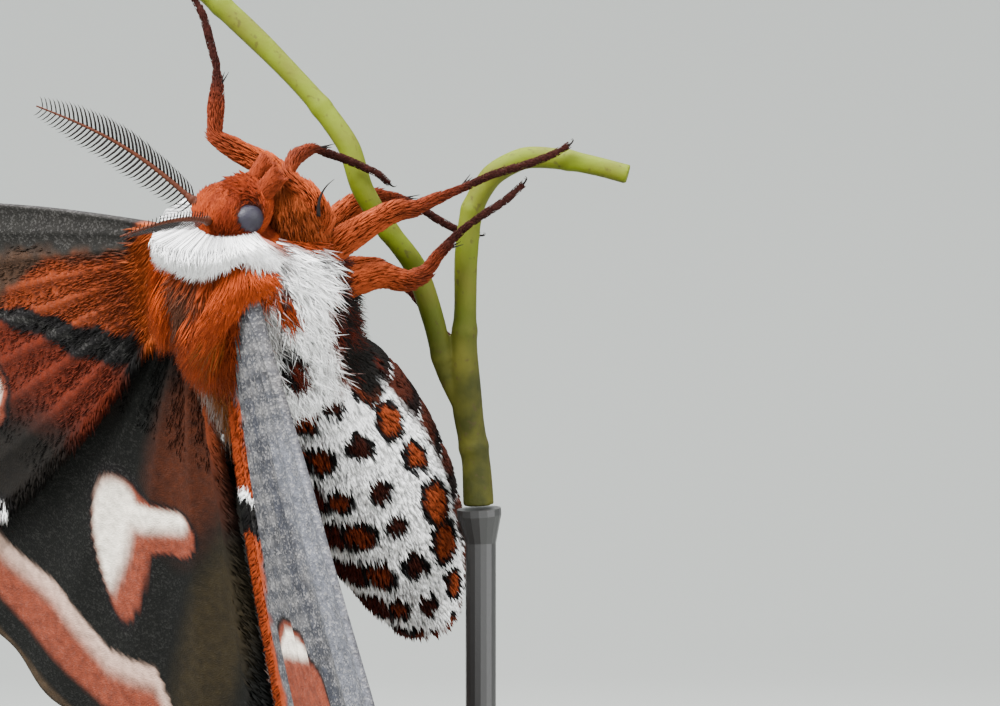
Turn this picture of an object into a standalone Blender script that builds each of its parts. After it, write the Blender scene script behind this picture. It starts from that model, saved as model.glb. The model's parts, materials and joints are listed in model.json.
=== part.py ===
"""Cecropia moth clinging head up to a forked stem, life size, on a plain display stand.

Metres, +Z up. The camera of the photograph looks along +Y, so +X is to the right of the
picture. The origin is the middle of the base's underside. Sizes below are in millimetres.
"""

import math
import random

import bmesh
import bpy
from mathutils import Vector

# Scale, gap between neighbouring nodes, and where the middle of the thorax is
MM = 0.001
GAP = 0.3
THORAX_AT = Vector((-9.0, -11.0, 81.0))

# Body axes: the moth's right side and its head direction, as they point in the picture
RIGHT = Vector((0.50, -0.74, -0.45)).normalized()
FORWARD = Vector((-0.227, -0.613, 0.756))
HEAD_RIGHT = Vector((0.40, -0.75, -0.53)).normalized()
HEAD_FORWARD = Vector((-0.188, -0.632, 0.752))

# Thorax core: place along the body, half width, half height
THORAX_RINGS = (
    (8.4, 2.2, 2.2),
    (7.4, 3.6, 3.5),
    (5.6, 4.8, 4.9),
    (3.0, 5.6, 5.8),
    (0.0, 5.9, 6.2),
    (-3.0, 5.7, 6.0),
    (-5.4, 5.0, 5.3),
    (-6.6, 4.4, 4.7),
)
THORAX_SIDES = 20

# Coat of the thorax: rows of locks, as place, count, length, width, lift of the tip, turn
LOCK_ROWS = (
    (6.9, 12, 5.0, 2.9, 1.7, 0.0),
    (4.3, 14, 6.6, 3.1, 2.1, 0.5),
    (1.5, 14, 6.8, 3.2, 2.3, 0.0),
    (-1.3, 14, 6.8, 3.2, 2.3, 0.5),
    (-4.0, 12, 6.0, 3.1, 2.2, 0.0),
)
LOCK_STEPS = (0.0, 0.16, 0.42, 0.72, 0.9)
LOCK_SINK = 0.9
LOCK_THICK = 0.75
TEGULA_LOCKS = 6
TEGULA_LENGTH = 11.0
TEGULA_LIFT = 3.3

# Head, eyes, palps and antennae
HEAD_AT = (9.9, -0.3, 0.0)
HEAD_RADII = (2.9, 3.0, 2.4)
EYE_RADIUS = 1.45
EYE_AT = (2.45, -0.1, 0.3)
PALP_LENGTH = 2.9
PALP_RADIUS = 0.75
FACE_LOCKS = 7
ANTENNA_LENGTH = 15.6
ANTENNA_RADIUS = 0.5
RAMI_PER_SIDE = 14
RAMUS_PITCH = 1.0
RAMUS_THICK = 0.44
RAMUS_LENGTH = 2.0
RAMUS_LEAN = {-1.0: (1.0, 0.16, 0.42), 1.0: (0.72, 0.5, 0.8)}

# Abdomen: line from its joint to its tip, and its radius along that line
ABDOMEN_LINE = ((3.9, 4.5, -5.2), (9.0, 12.0, -15.4), (13.5, 20.0, -27.8))
ABDOMEN_RADII = (
    (0.0, 4.7),
    (0.06, 5.5),
    (0.15, 6.1),
    (0.3, 6.6),
    (0.5, 6.5),
    (0.7, 5.7),
    (0.85, 4.4),
    (0.95, 2.9),
    (1.0, 1.6),
)
ABDOMEN_RINGS = 19
ABDOMEN_SIDES = 18
SEGMENTS = 6.25
SEGMENT_START = 0.4
SEGMENT_FOLD = 0.28

# Wings: outline as vein ends in the plane of the wing (along the span, toward the tail)
FORE_ENDS = (
    (69.0, 2.2),
    (73.5, 6.0),
    (72.5, 10.5),
    (68.5, 15.0),
    (64.0, 19.5),
    (59.5, 24.0),
    (55.0, 28.5),
    (50.0, 32.5),
    (44.5, 35.0),
)
FORE_BEND = ((35.0, -5.5), (19.0, 24.0))
FORE_STEPS = 10
HIND_ROOT = (2.0, 4.6)
HIND_ANGLES = (-3.0, 9.0, 21.0, 33.0, 45.0, 57.0, 69.0, 80.0)
HIND_RADII = (40.0, 43.5, 45.0, 45.0, 46.0, 47.5, 48.5, 45.0)
HIND_STEPS = 9
HIND_DROP = 1.5
HIND_ROOT_DROP = 0.5
BETWEEN_VEINS = 3
WING_HALF = 0.27
WING_ROOT_HALF = 0.75
VEIN_RISE = 0.24
WING_INSET = -1.6

# Wing roots in body axes, and the span and chord directions as they point in the picture
WINGS = {
    "right": {
        "root": (4.6, 3.2, 6.0),
        "span": (0.235, -0.30, -0.925),
        "chord": (-0.139, 0.931, -0.3375),
        "sign": -1.0,
        "turn": 0.0,
    },
    "left": {
        "root": (5.2, 3.4, -6.2),
        "span": (-0.78, 0.60, 0.04),
        "chord": (0.16, 0.27, -0.95),
        "sign": 1.0,
        "turn": 12.0,
    },
}

# Legs: points from the thorax out to the claws, with half thickness
LEGS = {
    "foreleg_right": (
        (4.1, -3.4, 5.3, 1.15),
        (4.9, -4.2, 6.8, 1.15),
        (4.2, -5.6, 8.8, 0.95),
        (2.6, -6.4, 10.5, 0.65),
        (2.9, -6.0, 11.6, 0.75),
        (4.4, -4.4, 12.8, 0.6),
        (5.6, -2.8, 12.5, 0.36),
        (6.9, -1.5, 12.1, 0.34),
        (8.4, -0.75, 11.5, 0.32),
        (9.7, -0.35, 10.9, 0.3),
        (10.5, 0.9, 10.2, 0.26),
    ),
    "foreleg_left": (
        (2.2, 0.2, 7.6, 1.15),
        (2.4, 0.9, 9.4, 1.2),
        (0.6, 0.9, 11.4, 1.1),
        (-2.0, 0.5, 12.9, 0.95),
        (-3.7, 0.3, 14.0, 0.75),
        (-3.9, 0.5, 16.0, 0.9),
        (-3.8, 0.9, 18.4, 0.75),
        (-3.9, 1.1, 20.0, 0.45),
        (-4.4, 1.2, 22.0, 0.38),
        (-5.0, 1.2, 24.2, 0.34),
        (-5.9, 1.2, 26.0, 0.32),
        (-6.6, 1.3, 27.6, 0.28),
    ),
    "midleg_right": (
        (4.9, -2.2, 3.6, 1.2),
        (6.4, -2.4, 4.9, 1.25),
        (8.6, -2.2, 6.4, 1.1),
        (11.0, -1.6, 7.7, 0.95),
        (12.6, -1.0, 8.0, 0.7),
        (14.2, -0.4, 8.7, 0.62),
        (16.8, 0.4, 9.8, 0.55),
        (19.2, 0.9, 10.9, 0.45),
        (20.8, 1.1, 11.4, 0.36),
        (22.4, 1.3, 11.9, 0.34),
        (24.2, 1.3, 12.6, 0.32),
        (25.6, 1.4, 13.4, 0.28),
    ),
    "midleg_left": (
        (3.7, 2.9, 4.6, 1.15),
        (5.2, 3.9, 6.4, 1.15),
        (7.2, 4.8, 8.3, 1.0),
        (9.2, 5.4, 9.2, 0.75),
        (11.3, 5.9, 9.0, 0.7),
        (13.2, 6.3, 8.2, 0.5),
        (14.8, 6.6, 7.2, 0.36),
        (16.4, 6.6, 6.4, 0.32),
        (18.0, 6.4, 6.0, 0.28),
    ),
    "hindleg_right": (
        (5.2, -0.8, 0.4, 1.2),
        (7.2, -1.1, 1.7, 1.25),
        (9.6, -0.6, 2.4, 1.1),
        (12.2, 0.1, 2.1, 0.9),
        (13.2, 0.5, 2.5, 0.75),
        (14.8, 0.9, 4.3, 0.7),
        (16.8, 1.4, 6.4, 0.55),
        (18.6, 1.8, 7.7, 0.38),
        (20.4, 2.1, 8.9, 0.34),
        (21.8, 2.4, 10.2, 0.28),
    ),
    "hindleg_left": (
        (4.5, 5.0, 1.8, 1.15),
        (6.4, 6.6, 2.9, 1.15),
        (9.0, 8.2, 3.2, 0.95),
        (11.4, 9.0, 2.2, 0.7),
        (13.0, 8.8, 0.4, 0.65),
        (14.4, 8.2, -1.6, 0.5),
        (15.8, 7.6, -3.0, 0.36),
        (17.2, 7.4, -4.2, 0.3),
    ),
}
LEG_SIDES = 8

# Perch: the two stems of the fork, with half thickness, and the stand under it
STEM_UPRIGHT = (
    (18.0, 8.6, -17.0, 1.25),
    (17.8, 8.3, -13.5, 1.25),
    (17.1, 7.4, -9.0, 1.3),
    (16.8, 6.0, -4.5, 1.15),
    (16.9, 5.0, 0.0, 1.0),
    (17.0, 4.5, 4.5, 0.95),
    (17.6, 4.2, 8.4, 0.95),
    (19.2, 3.9, 11.0, 1.0),
    (21.9, 3.5, 12.4, 0.9),
    (25.0, 3.2, 12.3, 0.85),
    (28.4, 3.0, 11.6, 0.85),
    (30.6, 2.8, 11.0, 0.85),
)
STEM_BRANCH = (
    (17.1, 7.4, -9.6, 0.7),
    (15.2, 6.4, -5.2, 0.95),
    (14.2, 4.6, -1.2, 0.95),
    (12.6, 3.2, 3.4, 0.9),
    (10.0, 2.0, 6.9, 0.9),
    (8.3, 1.2, 9.8, 0.95),
    (7.2, 1.2, 13.2, 0.9),
    (5.0, 1.7, 16.4, 0.9),
    (0.7, 2.5, 21.1, 0.9),
    (-3.7, 2.9, 25.3, 0.9),
    (-8.2, 3.1, 29.2, 0.9),
)
STEM_SIDES = 10
BASE_RADIUS = 44.0
BASE_HEIGHT = 4.0
BASE_BEVEL = 0.8
ROD_RADIUS = 1.3
ROD_CUP = 1.9
ROD_CUP_HEIGHT = 3.0

# Base colours of the nodes
COLOURS = {
    "fur": (0.58, 0.30, 0.18),
    "coat": (0.62, 0.24, 0.10),
    "wing": (0.24, 0.19, 0.17),
    "eye": (0.09, 0.09, 0.12),
    "antenna": (0.16, 0.10, 0.07),
    "leg": (0.45, 0.16, 0.08),
    "stem": (0.36, 0.42, 0.14),
    "stand": (0.30, 0.28, 0.26),
}

RANDOM = random.Random(11)


def squared_up(first, second):
    """The second direction turned square to the first, at length one."""
    return (second - second.dot(first) * first).normalized()


FORWARD = squared_up(RIGHT, FORWARD)
DORSAL = RIGHT.cross(FORWARD)
HEAD_FORWARD = squared_up(HEAD_RIGHT, HEAD_FORWARD)
HEAD_DORSAL = HEAD_RIGHT.cross(HEAD_FORWARD)


def at(x, y, z):
    """A place given from the middle of the thorax along the picture's axes."""
    return THORAX_AT + Vector((x, y, z))


def body(forward, dorsal, right):
    """A place given from the middle of the thorax along the body's axes."""
    return THORAX_AT + forward * FORWARD + dorsal * DORSAL + right * RIGHT


def of_head(right, dorsal, forward):
    """A place given from the middle of the head along the head's axes."""
    return body(*HEAD_AT) + right * HEAD_RIGHT + dorsal * HEAD_DORSAL + forward * HEAD_FORWARD


def between(table, place):
    """Values of a table of rows at a place, straight between its rows."""
    rows = sorted(table)
    if place <= rows[0][0]:
        return rows[0][1:]
    for low, high in zip(rows, rows[1:]):
        if place <= high[0]:
            share = (place - low[0]) / (high[0] - low[0])
            return tuple(a + (b - a) * share for a, b in zip(low[1:], high[1:]))
    return rows[-1][1:]


def bent(start, middle, end, share):
    """A point of the curve from start to end that is drawn toward the middle one."""
    return (1 - share) ** 2 * start + 2 * share * (1 - share) * middle + share * share * end


def material(name):
    """The material of that name, made once."""
    found = bpy.data.materials.get(name)
    if found is None:
        found = bpy.data.materials.new(name)
        found.use_nodes = True
        shader = found.node_tree.nodes["Principled BSDF"]
        shader.inputs["Base Color"].default_value = (*COLOURS[name], 1.0)
        shader.inputs["Roughness"].default_value = 0.3 if name == "eye" else 0.8
    return found


def closed_object(name, points, faces):
    """An object from points in millimetres and faces, facing outward."""
    mesh = bpy.data.meshes.new(name)
    mesh.from_pydata([p * MM for p in points], [], faces)
    shape = bmesh.new()
    shape.from_mesh(mesh)
    bmesh.ops.recalc_face_normals(shape, faces=shape.faces)
    bmesh.ops.triangulate(shape, faces=shape.faces, quad_method="FIXED")
    shape.to_mesh(mesh)
    shape.free()
    made = bpy.data.objects.new(name, mesh)
    bpy.context.scene.collection.objects.link(made)
    return made


def loft(name, rings):
    """A closed body through rings of equal count; a ring of one point closes to a tip."""
    points, faces, starts = [], [], []
    for ring in rings:
        starts.append(len(points))
        points.extend(ring)
    count = max(len(ring) for ring in rings)
    for here, there in zip(range(len(rings)), range(1, len(rings))):
        a, b = starts[here], starts[there]
        for j in range(count):
            k = (j + 1) % count
            if len(rings[there]) == 1:
                faces.append((a + j, a + k, b))
            elif len(rings[here]) == 1:
                faces.append((a, b + k, b + j))
            else:
                faces.append((a + j, a + k, b + k))
                faces.append((a + j, b + k, b + j))
    for end in (0, len(rings) - 1):
        if len(rings[end]) > 1:
            faces.append(tuple(starts[end] + j for j in range(count)))
    return closed_object(name, points, faces)


def ovals(path, halves, across, sides, pointed=False):
    """Rings of an oval section along a path; halves are half width and half thickness."""
    rings = []
    last = len(path) - 1
    for i, place in enumerate(path):
        along = (path[min(i + 1, last)] - path[max(i - 1, 0)]).normalized()
        wide = squared_up(along, across[i] if isinstance(across, list) else across)
        high = along.cross(wide)
        if pointed and i == last:
            rings.append([place])
            continue
        ring = []
        for j in range(sides):
            angle = 2 * math.pi * j / sides
            ring.append(
                place
                + wide * (halves[i][0] * math.cos(angle))
                + high * (halves[i][1] * math.sin(angle))
            )
        rings.append(ring)
    return rings


def largest_body(made):
    """Leaves only the largest closed surface of an object, cleaned and in triangles."""
    shape = bmesh.new()
    shape.from_mesh(made.data)
    bmesh.ops.remove_doubles(shape, verts=shape.verts, dist=0.000002)
    bmesh.ops.dissolve_degenerate(shape, edges=shape.edges, dist=0.000001)
    bmesh.ops.triangulate(shape, faces=shape.faces)
    left = set(shape.faces)
    groups = []
    while left:
        group, front = [], [left.pop()]
        while front:
            face = front.pop()
            group.append(face)
            for edge in face.edges:
                for other in edge.link_faces:
                    if other in left and len(edge.link_faces) == 2:
                        left.discard(other)
                        front.append(other)
        groups.append(group)
    groups.sort(key=len)
    for group in groups[:-1]:
        bmesh.ops.delete(shape, geom=group, context="FACES")
    bmesh.ops.recalc_face_normals(shape, faces=shape.faces)
    shape.to_mesh(made.data)
    shape.free()


def combine(made, others, operation, solver):
    """Applies one Boolean of an object with a collection of closed bodies."""
    if not others:
        return
    group = bpy.data.collections.new("others")
    bpy.context.scene.collection.children.link(group)
    for other in others:
        bpy.context.scene.collection.objects.unlink(other)
        group.objects.link(other)
    step = made.modifiers.new(operation.lower(), "BOOLEAN")
    step.operation = operation
    step.operand_type = "COLLECTION"
    step.collection = group
    step.solver = solver
    graph = bpy.context.evaluated_depsgraph_get()
    result = bpy.data.meshes.new_from_object(made.evaluated_get(graph))
    made.modifiers.clear()
    made.data = result
    for other in others:
        bpy.data.objects.remove(other, do_unlink=True)
    bpy.data.collections.remove(group)


def node(name, pieces, colour, cutters=(), solver="MANIFOLD"):
    """One named node: its pieces joined, the places of its neighbours cut away."""
    made = pieces[0]
    made.name = name
    combine(made, list(pieces[1:]), "UNION", solver)
    combine(made, list(cutters), "DIFFERENCE", solver)
    largest_body(made)
    made.data.name = name
    made.data.materials.clear()
    made.data.materials.append(material(colour))
    return made


def on_thorax(place, angle, height):
    """A point at a height over the core, at an angle from the back toward the right."""
    wide, high = between(THORAX_RINGS, max(place, -5.4))
    return body(place, (high + height) * math.cos(angle), (wide + height) * math.sin(angle))


def lock(place, angle, length, width, lift, drift):
    """One flat tapered lock that lies back over the thorax and bends off it to its tip."""
    path, halves, across = [], [], []
    for share in (*LOCK_STEPS, 1.0):
        height = -LOCK_SINK + (LOCK_SINK + 0.2) * min(share / 0.16, 1.0)
        height += (lift - 0.2) * max(share - 0.16, 0.0) / 0.84
        turned = angle + drift * share
        path.append(on_thorax(place - length * share, turned, height))
        fall = (1.0 - share) ** 0.55
        halves.append((0.5 * width * (0.55 + 0.9 * share * fall) * fall, 0.5 * LOCK_THICK * fall))
        across.append(math.cos(turned) * RIGHT - math.sin(turned) * DORSAL)
    return loft("lock", ovals(path, halves, across, 4, pointed=True))


def thorax_locks():
    """All locks of the collar, the back, the sides and the two tegulae."""
    made = []
    for place, count, length, width, lift, turn in LOCK_ROWS:
        for i in range(count):
            angle = 2 * math.pi * (i + turn + RANDOM.uniform(-0.12, 0.12)) / count
            made.append(
                lock(
                    place + RANDOM.uniform(-0.3, 0.3),
                    angle,
                    length * RANDOM.uniform(0.88, 1.12),
                    width * RANDOM.uniform(0.9, 1.1),
                    lift * RANDOM.uniform(0.85, 1.15),
                    RANDOM.uniform(-0.12, 0.12),
                )
            )
    for side in (-1.0, 1.0):
        for i in range(TEGULA_LOCKS):
            share = i / (TEGULA_LOCKS - 1)
            made.append(
                lock(
                    6.3 - 0.9 * abs(share - 0.5),
                    side * math.radians(22 + 44 * share),
                    TEGULA_LENGTH * (1.0 - 0.25 * share),
                    2.3,
                    TEGULA_LIFT * RANDOM.uniform(0.9, 1.1),
                    side * math.radians(-14.0),
                )
            )
    return made


def ball(name, centre, axes, radii, rings=10, sides=16):
    """An egg-shaped body round a centre, with one radius along each axis."""
    shape = [[centre - axes[2] * radii[2]]]
    for i in range(1, rings):
        turn = math.pi * i / rings
        shape.append(
            [
                centre
                - axes[2] * (radii[2] * math.cos(turn))
                + axes[0] * (radii[0] * math.sin(turn) * math.cos(2 * math.pi * j / sides))
                + axes[1] * (radii[1] * math.sin(turn) * math.sin(2 * math.pi * j / sides))
                for j in range(sides)
            ]
        )
    shape.append([centre + axes[2] * radii[2]])
    return loft(name, shape)


def head_ball(extra):
    """The head's core, grown by a margin."""
    axes = (HEAD_RIGHT, HEAD_DORSAL, HEAD_FORWARD)
    return ball("head", body(*HEAD_AT), axes, [r + extra for r in HEAD_RADII])


def eye_ball(side, extra):
    """One eye, grown by a margin."""
    centre = of_head(side * EYE_AT[0], EYE_AT[1], EYE_AT[2])
    axes = (HEAD_FORWARD, HEAD_DORSAL, HEAD_RIGHT)
    radii = (EYE_RADIUS, EYE_RADIUS, EYE_RADIUS * 0.8)
    return ball("eye", centre, axes, [r + extra for r in radii], 8, 14)


def palp(side, extra):
    """One palp, from under the face forward and down, grown by a margin."""
    root = of_head(side * 0.95, -2.2, 0.9)
    aim = (HEAD_FORWARD * 0.62 - HEAD_DORSAL * 0.78 + HEAD_RIGHT * side * 0.08).normalized()
    path = [root + aim * PALP_LENGTH * s for s in (0.0, 0.3, 0.7, 1.0)]
    halves = [(PALP_RADIUS * k + extra,) * 2 for k in (0.8, 1.0, 0.9, 0.45)]
    return loft("palp", ovals(path, halves, HEAD_RIGHT, 8))


def face_locks():
    """The fur of the face and the crown, as short locks that bend forward and down."""
    made = []
    for i in range(FACE_LOCKS):
        angle = math.radians(-62 + 124 * i / (FACE_LOCKS - 1))
        out = HEAD_RIGHT * math.sin(angle)
        for rise, reach in ((-0.75, 2.0), (0.35, 1.7)):
            if abs(rise) > 0.5 and abs(angle) > 0.8:
                continue
            start = (
                body(*HEAD_AT)
                + out * HEAD_RADII[0] * 0.75
                + HEAD_FORWARD * HEAD_RADII[2] * 0.62 * math.cos(angle)
                + HEAD_DORSAL * HEAD_RADII[1] * rise * 0.6
            )
            aim = (out * 0.5 + HEAD_FORWARD * 0.9 * math.cos(angle) + HEAD_DORSAL * rise).normalized()
            fall = -HEAD_DORSAL if rise < 0 else HEAD_DORSAL
            path = [start + aim * reach * s + fall * reach * 0.35 * s * s for s in (0.0, 0.5, 0.8, 1.0)]
            halves = [(0.75, 0.42), (0.7, 0.36), (0.42, 0.24), (0.1, 0.1)]
            made.append(loft("face", ovals(path, halves, HEAD_RIGHT, 4, pointed=True)))
    return made


def antenna_line(side):
    """The shaft of one antenna as points, with the directions along and across it."""
    root = of_head(side * 1.2, 2.35, 0.9)
    aim = Vector((-10.8, -8.3, 3.65)) + 10.5 * side * HEAD_RIGHT
    aim.normalize()
    across = squared_up(aim, 0.167 * side * HEAD_RIGHT - 0.782 * HEAD_DORSAL + 0.605 * HEAD_FORWARD)
    path = []
    for i in range(11):
        share = i / 10
        bow = 0.9 * math.sin(math.pi * share)
        path.append(root + aim * ANTENNA_LENGTH * share + across * bow)
    return path, aim, across


def antenna(side, name):
    """One antenna: a shaft and two rows of rami that lean toward its tip."""
    path, aim, across = antenna_line(side)
    last = len(path) - 1
    halves = [(ANTENNA_RADIUS * (1.0 - 0.5 * i / last),) * 2 for i in range(last + 1)]
    pieces = [loft("shaft", ovals(path, halves, across, 8))]
    for i in range(RAMI_PER_SIDE):
        along = 1.0 + RAMUS_PITCH * i
        share = along / ANTENNA_LENGTH
        low = min(int(share * last), last - 1)
        root = path[low].lerp(path[low + 1], share * last - low)
        reach = RAMUS_LENGTH * (0.45 + 0.55 * math.sin(math.pi * min(share + 0.12, 1.0)) ** 0.6)
        for way in (-1.0, 1.0):
            out = across * way
            start = root + out * 0.12 * ANTENNA_RADIUS
            span, middle, lean = RAMUS_LEAN[way]
            line = [start, start + (out * 0.5 * span + aim * middle * 0.9) * reach]
            line.append(start + (out * 0.95 * span + aim * (middle + lean) * 0.75) * reach)
            size = [(RAMUS_THICK / 2, RAMUS_THICK / 2), (RAMUS_THICK / 2, RAMUS_THICK / 2), (0.11, 0.11)]
            pieces.append(loft("ramus", ovals(line, size, aim.cross(out), 4)))
    return node(name, pieces, "antenna")


def antenna_root(side):
    """The place kept clear in the head for the root of an antenna."""
    path, aim, across = antenna_line(side)
    line = [path[0] - aim * GAP, path[0] + aim * 4.0]
    halves = [(ANTENNA_RADIUS + GAP,) * 2] * 2
    return loft("root", ovals(line, halves, across, 8))


def abdomen_body(extra):
    """The abdomen with the folds between its rings, grown by a margin."""
    start, middle, end = (at(*p) for p in ABDOMEN_LINE)
    pull = 2 * middle - 0.5 * (start + end)
    path, halves = [], []
    for i in range(ABDOMEN_RINGS + 1):
        share = i / ABDOMEN_RINGS
        path.append(bent(start, pull, end, share))
        fold = (share * SEGMENTS + SEGMENT_START) % 1.0
        radius = between(ABDOMEN_RADII, share)[0] - SEGMENT_FOLD * (1.0 - min(fold / 0.3, 1.0))
        halves.append((radius + extra, radius * 0.97 + extra))
    if extra > 0:
        along = (path[1] - path[0]).normalized()
        path.insert(0, path[0] - along * extra)
        halves.insert(0, halves[0])
    return loft("abdomen", ovals(path, halves, RIGHT, ABDOMEN_SIDES))


def wing_height(along, back):
    """The rise of a wing's surface over its plane: the front edge is turned down."""
    fold = math.exp(-max(back + 2.5, 0.0) / 4.5)
    return -2.4 * fold + 2.4 * math.exp(-2.5 / 4.5) - 0.001 * along * along


def fore_line(index, share):
    """A point of one vein of a forewing, in its plane."""
    last = len(FORE_ENDS) - 1
    part = index / last
    start = Vector((WING_INSET, -1.0 + 3.5 * part))
    pull = Vector(FORE_BEND[0]).lerp(Vector(FORE_BEND[1]), part)
    low = min(int(index), last - 1)
    end = Vector(FORE_ENDS[low]).lerp(Vector(FORE_ENDS[low + 1]), index - low)
    return bent(start, pull, end, share)


def hind_line(index, share, turn):
    """A point of one vein of a hindwing, in its plane."""
    last = len(HIND_ANGLES) - 1
    part = index / last
    root = Vector(HIND_ROOT)
    low = min(int(index), last - 1)
    angle = HIND_ANGLES[low] + (HIND_ANGLES[low + 1] - HIND_ANGLES[low]) * (index - low)
    reach = HIND_RADII[low] + (HIND_RADII[low + 1] - HIND_RADII[low]) * (index - low)
    angle = math.radians(angle + turn)
    front = math.radians(HIND_ANGLES[0] + turn) - 0.1
    rear = math.radians(HIND_ANGLES[-1] + turn) + 0.10
    start = root + Vector((WING_INSET, -1.0 + 1.6 * part))
    pull_front = root + 20 * Vector((math.cos(front), math.sin(front)))
    pull_rear = root + 16 * Vector((math.cos(rear), math.sin(rear)))
    end = root + reach * Vector((math.cos(angle), math.sin(angle)))
    return bent(start, pull_front.lerp(pull_rear, part), end, share)


def wing(name, side, fore, extra=0.0, reach=1.0):
    """One wing: a membrane whose main veins are ridges, or the space kept clear for it."""
    data = WINGS[side]
    span = Vector(data["span"]).normalized()
    chord = squared_up(span, Vector(data["chord"]))
    up = data["sign"] * span.cross(chord)
    origin = body(*data["root"])
    veins = (len(FORE_ENDS) if fore else len(HIND_ANGLES)) - 1
    steps = FORE_STEPS if fore else HIND_STEPS
    columns = veins * BETWEEN_VEINS
    top, under = [], []
    for i in range(columns + 1):
        index = i / BETWEEN_VEINS
        ridge = 1.0 if i % BETWEEN_VEINS == 0 else 0.0
        for j in range(steps + 1):
            share = reach * j / steps
            flat = fore_line(index, share) if fore else hind_line(index, share, data["turn"])
            near = math.exp(-share / 0.06)
            drop = 0.0 if fore else HIND_DROP + HIND_ROOT_DROP * near
            height = wing_height(*flat) - drop
            half = WING_HALF + (WING_ROOT_HALF - WING_HALF) * near + extra
            half += VEIN_RISE * ridge * (1.0 - share) ** 0.7
            if extra > 0 and j == 0:
                flat = flat - Vector((GAP, 0.0))
            if extra > 0 and i in (0, columns):
                flat = flat + Vector((0.0, -GAP if i == 0 else GAP))
            middle = origin + span * flat[0] + chord * flat[1]
            top.append(middle + up * (height + half))
            under.append(middle + up * (height - half))
    points = top + under
    count, row = len(top), steps + 1
    faces = []
    for i in range(columns):
        for j in range(steps):
            a, b = i * row + j, (i + 1) * row + j
            for c in (0, count):
                faces.append((a + c, b + c, b + 1 + c))
                faces.append((a + c, b + 1 + c, a + 1 + c))
    rim = [(i * row, (i + 1) * row) for i in range(columns)]
    rim += [(i * row + steps, (i + 1) * row + steps) for i in range(columns)]
    rim += [(j, j + 1) for j in range(steps)]
    rim += [(columns * row + j, columns * row + j + 1) for j in range(steps)]
    for a, b in rim:
        faces.append((a, b, b + count))
        faces.append((a, b + count, a + count))
    return closed_object(name, points, faces)


def leg(name, extra=0.0, stations=None):
    """One leg as a tube of changing thickness, or the space kept clear for its root."""
    rows = LEGS[name][:stations]
    path = [at(*row[:3]) for row in rows]
    halves = [(row[3] + extra,) * 2 for row in rows]
    if extra > 0:
        path[0] = path[0] - (path[1] - path[0]).normalized() * extra
    return loft(name, ovals(path, halves, DORSAL.cross(path[-1] - path[0]), LEG_SIDES))


def stem(rows):
    """One stem of the perch."""
    path = [at(*row[:3]) for row in rows]
    halves = [(row[3], row[3]) for row in rows]
    return loft("stem", ovals(path, halves, Vector((0.1, 1.0, 0.05)), STEM_SIDES))


def rod(foot):
    """The rod of the stand, with a cup at its top that takes the cut end of the stem."""
    top = at(*STEM_UPRIGHT[0][:3])
    end = STEM_UPRIGHT[0]
    next_up = at(*STEM_UPRIGHT[1][:3])
    along = (next_up - top).normalized()
    head = top - along * GAP
    neck = head - along * ROD_CUP_HEIGHT
    low = Vector((neck.x, neck.y, foot))
    middle = low.lerp(neck, 0.9)
    path = [low, middle, neck, head - along * 0.6, head]
    halves = [(r, r) for r in (ROD_RADIUS, ROD_RADIUS, ROD_RADIUS, ROD_CUP, max(ROD_CUP, end[3]))]
    return loft("rod", ovals(path, halves, Vector((1.0, 0.0, 0.0)), 16))


def base():
    """The flat round base."""
    shape = bmesh.new()
    bmesh.ops.create_cone(
        shape,
        cap_ends=True,
        segments=36,
        radius1=BASE_RADIUS * MM,
        radius2=BASE_RADIUS * MM,
        depth=BASE_HEIGHT * MM,
    )
    bmesh.ops.translate(shape, verts=shape.verts, vec=(0.0, 0.0, BASE_HEIGHT * MM / 2))
    rim = [e for e in shape.edges if abs(e.verts[0].co.z - e.verts[1].co.z) < 1e-6]
    rim = [e for e in rim if e.verts[0].co.z > BASE_HEIGHT * MM / 2]
    bmesh.ops.bevel(shape, geom=rim, offset=BASE_BEVEL * MM, segments=2, affect="EDGES", profile=0.5)
    bmesh.ops.triangulate(shape, faces=shape.faces)
    mesh = bpy.data.meshes.new("stand_base")
    shape.to_mesh(mesh)
    shape.free()
    made = bpy.data.objects.new("stand_base", mesh)
    bpy.context.scene.collection.objects.link(made)
    made.data.materials.append(material("stand"))
    return made


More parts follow.
